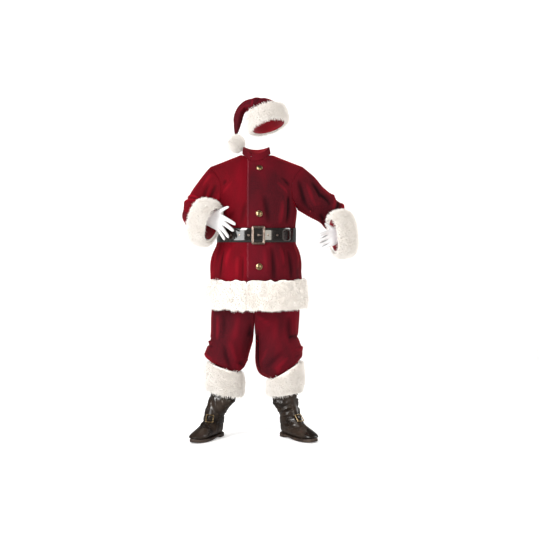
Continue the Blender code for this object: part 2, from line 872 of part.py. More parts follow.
def buckle_and_prong(metal):
    middle = (BELT_LOW + BELT_HIGH) / 2.0
    turn = 360.0 + float(turn_at(BUCKLE["x"] - MIDDLE, middle))
    point = belt_face(turn, middle)
    beside = unit(belt_face(turn + 2.0, middle) - belt_face(turn - 2.0, middle))
    outward = unit(np.cross(beside, (0.0, 0.0, 1.0)))
    right = unit(np.cross((0.0, 0.0, 1.0), outward))
    upward = np.cross(outward, right)
    base = point + outward * 0.6
    ring = frame_ring("belt_buckle", base, right, outward, BUCKLE, metal)
    # The centre bar runs behind the strap, joined to the frame above and below it.
    reach = BUCKLE["tall"] / 2.0 - 5.0
    back = -BELT_THICK - 3.4
    line = ((reach, 2.0), (reach, back), (-reach, back), (-reach, 2.0))
    loop = []
    for index, (up, out) in enumerate(line):
        section = []
        inside_up = up - math.copysign(2.2, up)
        deeper = 0.0 if index in (0, 3) else 2.2
        for x, flip in ((-3.0, 0), (3.0, 0), (3.0, 1), (-3.0, 1)):
            spot = upward * (inside_up if flip else up) + outward * (out + deeper * flip)
            section.append(base + right * x + spot)
        loop.append(section)
    bar = swept("belt_buckle_bar", loop, metal, False, False)
    bar.hide_render = True
    bar.display_type = "WIRE"
    join = ring.modifiers.new("bar", "BOOLEAN")
    join.object = bar
    join.operation = "UNION"
    join.solver = "EXACT"
    # The prong stands out of its eyelet and rests on the frame.
    rest = BUCKLE["thick"] + 2.4
    line = ((0.0, -3.4), (0.0, 0.4), (1.2, 2.6), (5.0, 4.2), (18.0, 6.4), (29.0, rest), (35.0, rest))
    centres = np.array([base + right * x + outward * out for x, out in line])
    radii = (1.5, 1.5, 1.6, 1.8, 2.0, 2.0, 1.2)
    angles = np.linspace(0.0, 2.0 * math.pi, 10, endpoint=False)
    sections = []
    for centre, radius, frame in zip(centres, radii, transported(centres, upward)):
        sections.append(round_section(centre, frame, angles, radius, radius))
    swept("belt_prong", sections, metal, False)


# Trousers


def leg_point(table, share, height, out=0.0):
    """A point of a leg: share runs 0 to 1 from inner to outer across the front, then on to 2 behind."""
    share, height = np.broadcast_arrays(np.asarray(share, float), np.asarray(height, float))
    outer = read(table, 1, height)
    inner = read(table, 2, height)
    side = np.sign(outer)
    angle = math.pi * share
    depth = np.where(share <= 1.0, read(table, 3, height), read(table, 4, height))
    middle = (outer + inner) / 2.0
    half = np.abs(outer - inner) / 2.0
    turn = np.degrees(angle) - 90.0
    swell = out + 0.0 * half
    for where, level, tall, wide, deep in LEG_FOLDS:
        away = (turn - where + 180.0) % 360.0 - 180.0
        reach = np.exp(-(((height - level) / tall) ** 2) - (away / wide) ** 2)
        swell = swell + deep * reach * (height < 700.0)
    low_x = middle - side * (half + swell) * np.cos(angle)
    low_y = -(depth + swell) * np.sin(angle)
    top_half = np.abs(outer - LEG_MIDDLE)
    high_x = LEG_MIDDLE + side * (SEAM + (top_half - SEAM) * np.sin(angle / 2.0)) + side * swell
    high_y = -depth * np.cos(angle / 2.0)
    joined = np.clip((height - CROTCH) / (SEAT - CROTCH), 0.0, 1.0)
    joined = np.sqrt(1.0 - (1.0 - joined) ** 2)
    x = low_x + (high_x - low_x) * joined
    y = low_y + (high_y - low_y) * joined
    return np.stack([x, y, height], axis=-1)


def leg_panels(name, table, fur, velvet):
    """Front and back of one leg, from the hem tucked into the fur up to the waistband."""
    side = math.copysign(1.0, table[0][1])
    for part, start in (("front", 0.0), ("back", 1.0)):
        shares = start + np.linspace(0.0, 1.0, 8)
        rows = []
        for height in [row[0] for row in table]:
            points = leg_point(table, shares, height)
            fade = 1.0 - ease((height - fur["high"] - 20.0) / 220.0)
            points[:, 2] -= fur["slant"] * fade * np.cos(math.pi * shares)
            rows.append(points)
        grid = np.array(rows)
        grid[:, :, 1] += 0.55 * (-1.0 if part == "front" else 1.0)
        if side < 0.0:
            grid = grid[:, ::-1]
        wall(f"trouser_{part}_{name}", grid, VELVET, velvet)


def waistband(velvet):
    rows = []
    turns = np.radians(np.linspace(0.0, 360.0, 28, endpoint=False))
    depth = np.where(np.cos(turns) > 0.0, WAIST["front"], WAIST["back"])
    for height in (WAIST["low"], WAIST["high"]):
        half = np.where(np.sin(turns) > 0.0, WAIST["left"], WAIST["right"])
        x = LEG_MIDDLE + half * np.sin(turns)
        rows.append(np.stack([x, -depth * np.cos(turns), height + 0.0 * x], axis=-1))
    wall("trouser_waistband", np.array(rows), 2.6, velvet, True)


def leg_fur(name, fur, plush):
    """A slanted fur band round a trouser hem, higher on the outer side."""
    side = math.copysign(1.0, fur["middle"])
    profile = (
        # share of height, share of the way out
        (0.06, 0.0),
        (0.0, 0.4),
        (0.1, 0.85),
        (0.4, 1.0),
        (0.7, 0.97),
        (0.93, 0.7),
        (1.0, 0.35),
        (0.96, 0.0),
    )
    sections = []
    for turn in np.linspace(0.0, 360.0, 18, endpoint=False):
        angle = math.radians(turn)
        bottom = fur["low"] + fur["slant_low"] * math.sin(angle) * side
        top = fur["high"] + fur["slant"] * math.sin(angle) * side
        section = []
        for up, out in profile:
            reach_x = LEG_FUR_BORE + (fur["half"] - LEG_FUR_BORE) * out
            reach_y = LEG_FUR_BORE + 8.5 + (fur["deep"] - LEG_FUR_BORE - 8.5) * out
            x = fur["middle"] + reach_x * math.sin(angle)
            section.append((x, -reach_y * math.cos(angle), bottom + (top - bottom) * up))
        sections.append(section)
    swept(f"trouser_fur_{name}", sections, plush, True)


# Hat


def hat_ring(angles, up, out):
    """A ring of the hat's band: up is the share of its height, out the distance from the head."""
    roll = math.radians(HAT_ROLL)
    centre = np.array(HAT_BASE) + HAT_BAND["tall"] * up * np.array([-math.sin(roll), 0.0, math.cos(roll)])
    across = (HAT_BAND["across"] + out) * np.cos(angles)
    deep = (HAT_BAND["deep"] + out) * np.sin(angles)
    points = centre + across[:, None] * (math.cos(roll), 0.0, math.sin(roll))
    return points + deep[:, None] * (0.0, 1.0, HAT_PITCH)


def hat_crown(velvet):
    angles = np.linspace(0.0, 2.0 * math.pi, 16, endpoint=False)
    rows = [hat_ring(angles, 0.08, -1.0), hat_ring(angles, 0.99, -1.0)]
    for low_x, low_z, high_x, high_z, middle, deep, pitch in HAT_CROWN:
        centre = np.array([(low_x + high_x) / 2.0, middle, (low_z + high_z) / 2.0])
        half = np.array([(high_x - low_x) / 2.0, 0.0, (high_z - low_z) / 2.0])
        ring = centre + np.cos(angles)[:, None] * half
        rows.append(ring + (deep * np.sin(angles))[:, None] * (0.0, 1.0, pitch))
    wall("hat_crown", np.array(rows), VELVET, velvet, True)


def hat_fur(plush):
    profile = (
        # share of height, share of thickness
        (0.05, 0.0),
        (0.0, 0.4),
        (0.08, 0.82),
        (0.32, 1.0),
        (0.66, 1.0),
        (0.92, 0.8),
        (1.0, 0.4),
        (0.96, 0.0),
    )
    angles = np.linspace(0.0, 2.0 * math.pi, 16, endpoint=False)
    rings = [hat_ring(angles, up, HAT_BAND["thick"] * out) for up, out in profile]
    swept("hat_fur", np.array(rings).transpose(1, 0, 2), plush, True)


def pompom(plush):
    radius = POMPOM["radius"]
    shape = bmesh.new()
    bmesh.ops.create_icosphere(shape, subdivisions=2, radius=radius)
    points = np.array([vertex.co[:] for vertex in shape.verts])
    faces = [[vertex.index for vertex in face.verts] for face in shape.faces]
    shape.free()
    points += (POMPOM["x"], POMPOM["y"], POMPOM["top"] - points[:, 2].max())
    place("hat_pompom", points, faces, plush)


# Gloves


def glove(name, knit):
    """A palm of four strips, a finger drawn from each and a thumb from the side, then rounded."""
    data = GLOVES[name]
    wrist = np.array(data["wrist"], float)
    knuckles = np.array(data["knuckles"], float)
    along = unit(knuckles - wrist)
    back = np.array(data["back"], float)
    back = unit(back - np.dot(back, along) * along)
    upward = unit(np.cross(back, along)) * (1.0 if name == "right" else -1.0)
    palm = (
        # share of the way to the knuckles, half across, half thick
        (-0.35, 33.0, 26.0),
        (0.28, 38.0, 22.0),
        (0.7, 43.0, 18.0),
        (1.0, 43.0, 14.0),
    )
    points = []
    for share, half, thick in palm:
        centre = wrist + (knuckles - wrist) * share
        lines = np.linspace(1.0, -1.0, 5)
        curve = np.sqrt(1.0 - 0.75 * lines**2)
        for line, round_off in zip(lines, curve):
            points.append(centre + upward * (half * line) + back * (thick * round_off))
        for line, round_off in zip(lines[::-1], curve[::-1]):
            points.append(centre + upward * (half * line) - back * (thick * round_off))
    shape = bmesh.new()
    for point in points:
        shape.verts.new(point)
    shape.verts.ensure_lookup_table()
    thumb_root = None
    for ring in range(len(palm) - 1):
        for step in range(10):
            a = ring * 10 + step
            b = ring * 10 + (step + 1) % 10
            face = shape.faces.new([shape.verts[i] for i in (a, b, b + 10, a + 10)])
            if ring == 1 and step == 9:
                thumb_root = face
    roots = []
    start = (len(palm) - 1) * 10
    for finger in range(4):
        corners = (start + finger, start + finger + 1, start + 8 - finger, start + 9 - finger)
        roots.append(shape.faces.new([shape.verts[i] for i in corners]))
    for root, (length, *way) in zip(roots, data["fingers"]):
        extrude_finger(shape, root, unit(way), length, (0.9, 0.6))
    extrude_finger(shape, thumb_root, unit(data["thumb"]), data["thumb_long"], (0.7, 0.46))
    bmesh.ops.recalc_face_normals(shape, faces=shape.faces)
    points = np.array([vertex.co[:] for vertex in shape.verts])
    shape.verts.index_update()
    faces = [[vertex.index for vertex in face.verts] for face in shape.faces]
    shape.free()
    made = place(f"glove_{name}", points, faces, knit)
    rounding = made.modifiers.new("rounding", "SUBSURF")
    rounding.levels = 1
    rounding.render_levels = 1
    cloth = made.modifiers.new("cloth", "SOLIDIFY")
    cloth.thickness = GLOVE_WALL / 1000.0
    cloth.offset = -1.0


def extrude_finger(shape, root, way, length, sizes):
    """Draws a finger out of a face in two steps, each end scaled to its size."""
    face = root
    size = 1.0
    for step, wanted in enumerate(sizes):
        made = bmesh.ops.extrude_discrete_faces(shape, faces=[face])
        face = made["faces"][0]
        reach = length * (0.78, 0.22)[step]
        middle = face.calc_center_median()
        for vertex in face.verts:
            spoke = vertex.co - middle
            vertex.co = middle + spoke * (wanted / size) + type(middle)(way) * reach
        size = wanted


# Boots


def boot_rings(table, angles):
    """Rings of the boot in its own frame: x across, y toward the toe, z up."""
    rings = []
    for _, back_y, back_z, front_y, front_z, half, roundness in table:
        back = np.array([0.0, back_y, back_z])
        front = np.array([0.0, front_y, front_z])
        ring = (back + front) / 2.0 + np.cos(angles)[:, None] * (front - back) / 2.0
        power = np.where(np.cos(angles) < 0.0, roundness, 1.0)
        spread = np.sign(np.sin(angles)) * np.abs(np.sin(angles)) ** power
        ring = ring + (half * spread)[:, None] * (1.0, 0.0, 0.0)
        floor = read(SOLE, 2, ring[:, 1]) + 0.7
        ring[:, 2] = np.maximum(ring[:, 2], floor)
        rings.append(ring)
    return np.array(rings)


def stand(points, boot):
    """Moves points from a boot's own frame to where the boot stands, leaning to the leg above."""
    points = np.asarray(points, float)
    turn = math.radians(boot["out"])
    x = -points[..., 0] * math.cos(turn) + points[..., 1] * math.sin(turn)
    y = -points[..., 0] * math.sin(turn) - points[..., 1] * math.cos(turn)
    lean = boot["lean"] * ease((points[..., 2] - 126.0) / 84.0)
    return np.stack([boot["x"] + x + lean, boot["y"] + y, points[..., 2]], axis=-1)


def boot_upper(name, vinyl):
    angles = np.linspace(0.0, 2.0 * math.pi, 16, endpoint=False)
    rings = boot_rings(BOOT, angles)
    inner = rings - normals_of(rings, True) * BOOT_WALL
    count, around = rings.shape[:2]
    faces = cells(count, around, True, 0, True) + cells(count, around, True, count * around)
    for step in range(around):
        other = (step + 1) % around
        faces.append([step, other, other + count * around, step + count * around])
    last = (count - 1) * around
    faces.append([last + step for step in range(around)][::-1])
    faces.append([last + count * around + step for step in range(around)])
    points = np.concatenate([rings.reshape(-1, 3), inner.reshape(-1, 3)])
    place(f"boot_upper_{name}", stand(points, BOOTS[name]), faces, vinyl)


def boot_sole(name, rubber):
    sections = []
    for along, half, top, bottom in SOLE:
        section = (
            (-half + 2.0, along, bottom),
            (half - 2.0, along, bottom),
            (half, along, bottom + 2.0),
            (half, along, top - 1.0),
            (half - 1.5, along, top),
            (-half + 1.5, along, top),
            (-half, along, top - 1.0),
            (-half, along, bottom + 2.0),
        )
        sections.append(section)
    swept(f"boot_sole_{name}", stand(sections, BOOTS[name]), rubber, False, False)


def strap_rings(angles, out):
    """Rings of the ankle strap's face, a distance out from the upper's facets."""
    rings = boot_rings(BOOT, angles)
    outward = normals_of(rings, True)
    rows = []
    for station in STRAP_STATIONS:
        low = int(station)
        share = station - low
        ring = rings[low] * (1.0 - share) + rings[low + 1] * share
        away = unit(outward[low] * (1.0 - share) + outward[low + 1] * share)
        rows.append(ring + away * out)
    return np.array(rows)


def boot_strap(name, vinyl, brass):
    angles = np.linspace(0.0, 2.0 * math.pi, 16, endpoint=False)
    outer = stand(strap_rings(angles, STRAP_GAP + STRAP_THICK), BOOTS[name])
    inner = stand(strap_rings(angles, STRAP_GAP), BOOTS[name])
    sections = np.concatenate([outer, inner[::-1]], axis=0).transpose(1, 0, 2)
    swept(f"boot_strap_{name}", sections, vinyl, True)
    spot = math.radians(BOOTS[name]["buckle"])
    near = np.array([spot - 0.08, spot, spot + 0.08])
    face = stand(strap_rings(near, STRAP_GAP + STRAP_THICK), BOOTS[name])
    point = face[2, 1]
    right = unit(face[2, 2] - face[2, 0])
    outward = unit(np.cross(right, face[0, 1] - face[3, 1]))
    if np.dot(outward, point - (BOOTS[name]["x"], BOOTS[name]["y"], 100.0)) < 0.0:
        outward = -outward
    seat = point + outward * BOOTS[name]["seat"]
    frame_ring(f"boot_buckle_{name}", seat, right, outward, BOOT_BUCKLE, brass)
# The whole set


def jacket(velvet, plush, brass):
    left, right, back = jacket_panels()
    wall("jacket_front_left", left, VELVET, velvet)
    wall("jacket_front_right", right, VELVET, velvet)
    wall("jacket_back", back, VELVET, velvet)
    wall("jacket_collar", collar_grid(), 2.2, velvet)
    swept("jacket_hem_fur", hem_fur(), plush, False)
    for name, side, path, cuff, panel in (
        ("right", -1.0, RIGHT_ARM, RIGHT_CUFF, right),
        ("left", 1.0, LEFT_ARM, LEFT_CUFF, left),
    ):
        rows, frame, angles = sleeve(armhole(panel, back, side), path, cuff, side)
        if side > 0.0:
            rows = np.roll(rows[:, ::-1], 1, axis=1)
        order = ("back", "front") if side > 0.0 else ("front", "back")
        split_tube([f"sleeve_{face}_{name}" for face in order], rows, VELVET, velvet)
        swept(f"cuff_fur_{name}", cuff_fur(cuff, frame, angles), plush, True)
    for number, (height, seat) in enumerate(BUTTONS, 1):
        button(number, height, seat, brass)


def belt(vinyl, bronze):
    belt_strap(vinyl)
    eyelets(bronze)
    buckle_and_prong(bronze)


def trousers(velvet, plush):
    leg_panels("right", RIGHT_LEG, LEG_FUR["right"], velvet)
    leg_panels("left", LEFT_LEG, LEG_FUR["left"], velvet)
    waistband(velvet)
    for name, fur in LEG_FUR.items():
        leg_fur(name, fur, plush)


def hat(velvet, plush):
    hat_crown(velvet)
    hat_fur(plush)
    pompom(plush)


def gloves_and_boots(knit, boot_vinyl, rubber, brass):
    for name in BOOTS:
        glove(name, knit)
        boot_upper(name, boot_vinyl)
        boot_sole(name, rubber)
        boot_strap(name, boot_vinyl, brass)


def main():
    for old in list(bpy.data.objects):
        bpy.data.objects.remove(old)
    velvet = finish("velvet", (0.35, 0.01, 0.02), 0.8, sheen=0.6)
    plush = finish("plush", (0.9, 0.87, 0.82), 0.95, sheen=0.4)
    brass = finish("brass", (0.45, 0.3, 0.13), 0.4, metallic=1.0)
    jacket(velvet, plush, brass)
    patent = finish("patent_vinyl", (0.01, 0.01, 0.012), 0.15, coat=0.8)
    bronze = finish("bronze", (0.4, 0.28, 0.22), 0.35, metallic=1.0)
    belt(patent, bronze)
    trousers(velvet, plush)
    hat(velvet, plush)
    knit = finish("white_knit", (0.85, 0.85, 0.85), 0.9)
    boot_vinyl = finish("boot_vinyl", (0.03, 0.022, 0.02), 0.35)
    rubber = finish("rubber", (0.04, 0.03, 0.028), 0.6)
    gloves_and_boots(knit, boot_vinyl, rubber, brass)


main()
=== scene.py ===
# %% [markdown]
# # A velvet suit with fur bands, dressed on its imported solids
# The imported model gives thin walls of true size: jacket, sleeves, trousers, hat, gloves and boots.
# In the cells below each wall is copied, smoothed and creased, each fur band grows its pile, and
# every surface gets a procedural finish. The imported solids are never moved, only covered by finer
# pieces.

import math

import bmesh
import bpy
import numpy as np
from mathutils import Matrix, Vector, noise
from mathutils.bvhtree import BVHTree


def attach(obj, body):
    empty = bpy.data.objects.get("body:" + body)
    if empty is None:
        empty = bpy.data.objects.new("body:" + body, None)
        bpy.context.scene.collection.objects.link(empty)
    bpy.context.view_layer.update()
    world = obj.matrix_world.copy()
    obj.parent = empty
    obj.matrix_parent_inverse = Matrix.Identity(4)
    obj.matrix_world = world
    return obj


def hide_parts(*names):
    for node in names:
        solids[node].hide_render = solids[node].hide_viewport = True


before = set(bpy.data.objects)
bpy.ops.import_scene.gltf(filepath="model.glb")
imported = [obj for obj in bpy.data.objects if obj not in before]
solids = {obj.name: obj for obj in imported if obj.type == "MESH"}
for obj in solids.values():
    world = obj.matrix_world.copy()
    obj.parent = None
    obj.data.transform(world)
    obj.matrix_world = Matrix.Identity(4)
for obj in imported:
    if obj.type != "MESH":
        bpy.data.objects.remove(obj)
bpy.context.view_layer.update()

# %% [markdown]
# ## Camera
# Sizes below are millimetres, with heights above the floor, as a dressmaker's chart gives them.
# `spot` turns them into the model's metres, whose origin lies at the wearer's neck. A long lens
# from six metres keeps the figure's proportions, so the camera stands back and looks a little down
# at the belt.

# %% Camera
HELD = 1.5
FOCAL_LENGTH = 74.07
SENSOR_WIDTH = 36.0
scene = bpy.context.scene


def spot(x, y, z):
    """A point from millimetres above the floor to metres from the neck."""
    return Vector((x / 1000.0, y / 1000.0, z / 1000.0 - HELD))


def linked(name, data):
    """A new object that shows some data, put into the scene."""
    made = bpy.data.objects.new(name, data)
    scene.collection.objects.link(made)
    return made


def aim(made, target):
    """Turns a camera or a lamp towards a point."""
    made.rotation_euler = (target - made.location).to_track_quat("-Z", "Y").to_euler()


lens = bpy.data.cameras.new("portrait_lens")
lens.lens = FOCAL_LENGTH
lens.sensor_width = SENSOR_WIDTH
camera = linked("portrait_camera", lens)
camera.location = spot(70, -6000, 1100)
aim(camera, spot(70, 0, 907))
scene.camera = camera
print("camera at", tuple(round(value, 2) for value in camera.location))

# %% [markdown]
# ## Node helpers
# Materials, the room and Geometry Nodes are all trees of nodes. Two helpers keep them readable:
# `feed` sets a node's inputs, each to a plain value or to another node's output, and `node_in` adds
# a node and feeds it.

# %% Node helpers


def feed(tree, node, inputs):
    """Sets a node's inputs by name or number: sockets are linked, the rest are plain values."""
    for label, value in inputs.items():
        if isinstance(value, bpy.types.NodeSocket):
            tree.links.new(value, node.inputs[label])
        else:
            node.inputs[label].default_value = value


def node_in(tree, kind, inputs, **settings):
    """Adds a node with its settings and its inputs."""
    node = tree.nodes.new(kind)
    for label, value in settings.items():
        setattr(node, label, value)
    feed(tree, node, inputs)
    return node


def mixed(tree, factor, one, other):
    """A colour between two, by a mask; each colour is three numbers or a socket."""
    colours = [(*colour, 1.0) if isinstance(colour, tuple) else colour for colour in (one, other)]
    inputs = {0: factor, 6: colours[0], 7: colours[1]}
    return node_in(tree, "ShaderNodeMix", inputs, data_type="RGBA").outputs[2]


def between(tree, value, low, high):
    """A number between two, by a mask."""
    inputs = {"Value": value, "To Min": low, "To Max": high}
    return node_in(tree, "ShaderNodeMapRange", inputs).outputs["Result"]


def plain(name, colour, roughness):
    """A node material with one Principled shader, its plain numbers set on the shader itself."""
    material = bpy.data.materials.new(name)
    material.use_nodes = True
    tree = material.node_tree
    shader = tree.nodes["Principled BSDF"]
    feed(tree, shader, {"Base Color": (*colour, 1.0), "Roughness": roughness})
    return material, tree, shader


print("helpers: feed, node_in, mixed, between, plain")

# %% [markdown]
# ## Floor and studio light
# A photographer's white sweep has no corner, so floor and back wall are one bent sheet. A key lamp
# stands high on the viewer's left, because velvet shows its folds only when the light comes from
# one side. Two tall strips at belt height are there for the patent vinyl, which needs something
# bright to mirror and something dark beside it: the room and the sweep are therefore dim for glossy
# rays, and bright for all others.

# %% Floor
SWEEP_HALF, SWEEP_NEAR, SWEEP_FLAT, SWEEP_TOP = 9.0, -6.0, 4.0, 7.0
BEND, BEND_STEPS = 2.0, 8
BELOW_SOLES = 0.0005


def mesh_from(name, points, faces, edges=()):
    """A mesh from lists of points, faces and loose edges."""
    mesh = bpy.data.meshes.new(name)
    mesh.from_pydata(points, edges, faces)
    return mesh


def sweep_mesh():
    """A floor that bends up into a back wall far behind the suit."""
    depths = [(SWEEP_NEAR, 0.0), (SWEEP_FLAT, 0.0)]
    for step in range(1, BEND_STEPS + 1):
        angle = math.radians(90.0 * step / BEND_STEPS)
        depths.append((SWEEP_FLAT + BEND * math.sin(angle), BEND - BEND * math.cos(angle)))
    depths.append((SWEEP_FLAT + BEND, SWEEP_TOP))
    ground = -HELD - BELOW_SOLES
    sides = (-SWEEP_HALF, SWEEP_HALF)
    points = [(side, deep, high + ground) for deep, high in depths for side in sides]
    faces = [(2 * row, 2 * row + 1, 2 * row + 3, 2 * row + 2) for row in range(len(depths) - 1)]
    return mesh_from("studio_sweep", points, faces)


PAPER_TONES = (
    # input, grey for most rays, grey for glossy rays
    ("Base Color", 0.96, 0.16),
    ("Emission Color", 0.22, 0.02),
)
sweep = linked("studio_sweep", sweep_mesh())
paper, paper_tree, paper_shader = plain("studio_paper", (0.96, 0.96, 0.96), 0.9)
mirrored = node_in(paper_tree, "ShaderNodeLightPath", {}).outputs["Is Glossy Ray"]
feed(paper_tree, paper_shader, {"Emission Strength": 1.0})
for label, direct, dim in PAPER_TONES:
    feed(paper_tree, paper_shader, {label: mixed(paper_tree, mirrored, (direct,) * 3, (dim,) * 3)})
sweep.data.materials.append(paper)
print("sweep with", len(sweep.data.polygons), "faces")

# %% Room and lamps
ROOM_GLOW, ROOM_GLOW_MIRRORED = 0.62, 0.07
CHEST = spot(0, 0, 1150)
LAMPS = (
    # name, place, width and height in metres, watts, colour
    ("key_soft_box", (-2300, -2700, 3000), (1.2, 1.6), 150.0, (1.0, 0.985, 0.96)),
    ("left_strip", (-2750, -2350, 1150), (1.5, 2.0), 56.0, (1.0, 1.0, 1.0)),
    ("right_strip", (1650, -3100, 1150), (1.3, 1.7), 40.0, (1.0, 0.93, 0.82)),
    ("rim_strip", (3000, 500, 1800), (1.0, 2.4), 55.0, (1.0, 1.0, 1.0)),
)

world = bpy.data.worlds.new("studio")
world.use_nodes = True
room = world.node_tree
mirrored = node_in(room, "ShaderNodeLightPath", {}).outputs["Is Glossy Ray"]
glow = between(room, mirrored, ROOM_GLOW, ROOM_GLOW_MIRRORED)
feed(room, room.nodes["Background"], {"Color": (1.0, 1.0, 1.0, 1.0), "Strength": glow})
scene.world = world
scene.view_settings.view_transform = "Standard"
for name, place, size, watts, colour in LAMPS:
    light = bpy.data.lights.new(name, "AREA")
    light.shape = "RECTANGLE"
    light.size, light.size_y = size
    light.energy = watts
    light.color = colour
    lamp = linked(name, light)
    lamp.location = spot(*place)
    lamp.visible_camera = False
    aim(lamp, CHEST)

# %% [markdown]
# ## Shared shader effects
# Three effects come back on many finishes, so each is built once as a node group: patches of colour
# where a pile or skin lies differently, a fine grain for height, and a mask of worn spots. They
# read Object coordinates, so a pattern keeps its scale on every piece.

# %% Group helpers


def tree_with(kind, name, inputs, outputs):
    """A Shader or Geometry tree: each input is a number or the name of its kind of socket."""
    tree = bpy.data.node_groups.new(name, kind + "NodeTree")
    for label, value in inputs.items():
        is_number = isinstance(value, float)
        socket_type = "NodeSocket" + ("Float" if is_number else value)
        socket = tree.interface.new_socket(label, in_out="INPUT", socket_type=socket_type)
        if is_number:
            socket.default_value = value
    socket_type = "NodeSocketGeometry" if kind == "Geometry" else "NodeSocketFloat"
    for label in outputs:
        tree.interface.new_socket(label, in_out="OUTPUT", socket_type=socket_type)
    return tree, node_in(tree, "NodeGroupInput", {}).outputs, node_in(tree, "NodeGroupOutput", {})


def noise_in(tree, place, scale, detail):
    """A noise texture at a place, its scale a number or a socket."""
    inputs = {"Vector": place, "Scale": scale, "Detail": detail}
    return node_in(tree, "ShaderNodeTexNoise", inputs).outputs["Fac"]


def window(tree, value, low, high):
    """Spreads a value between low and high over 0 to 1."""
    inputs = {"Value": value, "From Min": low, "From Max": high}
    return node_in(tree, "ShaderNodeMapRange", inputs).outputs["Result"]


def maths(tree, operation, one, other, **settings):
    """One sum or product of two values, each a number or a socket."""
    node = node_in(tree, "ShaderNodeMath", {0: one, 1: other}, operation=operation, **settings)
    return node.outputs[0]


def vectors(tree, operation, one, other):
    """The sum, difference or product of two vectors."""
    node = node_in(tree, "ShaderNodeVectorMath", {0: one, 1: other}, operation=operation)
    return node.outputs["Vector"]


def object_place(tree):
    return node_in(tree, "ShaderNodeTexCoord", {}).outputs["Object"]


print("helpers: tree_with, noise_in, window, maths, vectors, object_place")

# %% Shader groups


def build_patches():
    """Soft patches: Broad is large uneven areas, Fine is small flecks."""
    inputs = {"Scale": 9.0, "Upright": 1.0}
    group, given, leave = tree_with("Shader", "soft_patches", inputs, ("Broad", "Fine"))
    where = object_place(group)
    axes = node_in(group, "ShaderNodeCombineXYZ", {"X": 1.0, "Y": 1.0, "Z": given["Upright"]})
    squashed = vectors(group, "MULTIPLY", where, axes.outputs["Vector"])
    broad = window(group, noise_in(group, squashed, given["Scale"], 2.0), 0.38, 0.64)
    fine = window(group, noise_in(group, where, 240.0, 2.0), 0.35, 0.65)
    feed(group, leave, {"Broad": broad, "Fine": fine})
    return group


def build_grain():
    """A height for a Bump node: a coarse and a fine noise."""
    inputs = {"Coarse": 180.0, "Fine": 900.0, "Mix": 0.5}
    group, given, leave = tree_with("Shader", "fine_grain", inputs, ("Height",))
    where = object_place(group)
    coarse = noise_in(group, where, given["Coarse"], 4.0)
    fine = noise_in(group, where, given["Fine"], 2.0)
    blend = node_in(group, "ShaderNodeMix", {0: given["Mix"], 2: coarse, 3: fine})
    feed(group, leave, {"Height": blend.outputs[0]})
    return group


def build_wear():
    """A mask of rubbed spots, more of them on sharp edges."""
    group, given, leave = tree_with("Shader", "edge_wear", {"Amount": 0.5}, ("Mask",))
    spots = window(group, noise_in(group, object_place(group), 120.0, 5.0), 0.45, 0.7)
    pointed = node_in(group, "ShaderNodeNewGeometry", {}).outputs["Pointiness"]
    total = maths(group, "ADD", spots, window(group, pointed, 0.5, 0.6), use_clamp=True)
    feed(group, leave, {"Mask": maths(group, "MULTIPLY", total, given["Amount"])})
    return group


PATCHES = build_patches()
GRAIN = build_grain()
WEAR = build_wear()
print("groups:", PATCHES.name, GRAIN.name, WEAR.name)

# %% [markdown]
# ## Finishes
# Velvet is a dark ground whose short pile lights up where the eye grazes it, which the sheen of the
# shader gives. A brighter copy of the velvet is painted lit, for the panels that face the key lamp.
# Pile fur is nearly white, with cream and rosy patches, and has a faint painted glow, a stand-in for
# the light that goes from hair to hair inside it, which lightens the shade between the hairs. Patent
# vinyl is black under a clear coat, boot vinyl is brown-black and creased, and the fittings are old
# brass and bronze with rubbed edges.

# %% Finish helpers
FLECK_STRENGTH = 0.35
# Ranges of the fold attribute over which painted shade darkens the crease troughs and painted
# highlight brightens their ridges.
TROUGH_SHADE_RANGE, RIDGE_HIGHLIGHT_RANGE = (-0.15, -1.4), (0.3, 1.7)


def use_group(tree, group, **values):
    return node_in(tree, "ShaderNodeGroup", values, node_tree=group).outputs


def bumped(tree, shader, height, strength, distance):
    inputs = {"Height": height, "Strength": strength, "Distance": distance}
    feed(tree, shader, {"Normal": node_in(tree, "ShaderNodeBump", inputs).outputs["Normal"]})


def folded(tree, colour, trough, ridge):
    """Paints shade into a colour in the troughs of the creases and a highlight on their ridges."""
    chart = node_in(tree, "ShaderNodeAttribute", {}, attribute_name="fold").outputs["Fac"]
    colour = mixed(tree, window(tree, chart, *TROUGH_SHADE_RANGE), colour, trough)
    return mixed(tree, window(tree, chart, *RIDGE_HIGHLIGHT_RANGE), colour, ridge)


def finish(
    name, dark, light, rough, bump, scale=9.0, upright=1.0, flecks=None, grain=(180.0, 900.0),
    fold_shade_and_highlight=None, **plain_numbers
):
    """A finish of two colours in patches, flecks over them, and a fine grain."""
    material, tree, shader = plain(name, dark, rough[0])
    patches = use_group(tree, PATCHES, Scale=scale, Upright=upright)
    colour = mixed(tree, patches["Broad"], dark, light)
    if flecks is not None:
        faint = maths(tree, "MULTIPLY", patches["Fine"], FLECK_STRENGTH)
        colour = mixed(tree, faint, colour, flecks)
    # Where given, the crease colours are painted shade in the troughs and painted highlight on the
    # ridges.
    if fold_shade_and_highlight is not None:
        colour = folded(tree, colour, *fold_shade_and_highlight)
    feed(tree, shader, {"Base Color": colour, "Roughness": between(tree, patches["Broad"], *rough)})
    bumped(tree, shader, use_group(tree, GRAIN, Coarse=grain[0], Fine=grain[1])["Height"], *bump)
    for label, value in plain_numbers.items():
        shader.inputs[label.replace("_", " ").title().replace("Ior", "IOR")].default_value = value
    return material


def worn_metal(name, base, rubbed, rough):
    """Old metal: darker in the hollows and brighter on rubbed edges."""
    material, tree, shader = plain(name, base, rough)
    colour = mixed(tree, use_group(tree, WEAR, Amount=0.9)["Mask"], base, rubbed)
    feed(tree, shader, {"Metallic": 1.0, "Base Color": colour})
    bumped(tree, shader, use_group(tree, GRAIN, Coarse=300.0, Fine=1400.0)["Height"], 0.25, 0.0004)
    return material


print("helpers: use_group, bumped, folded, finish, worn_metal")

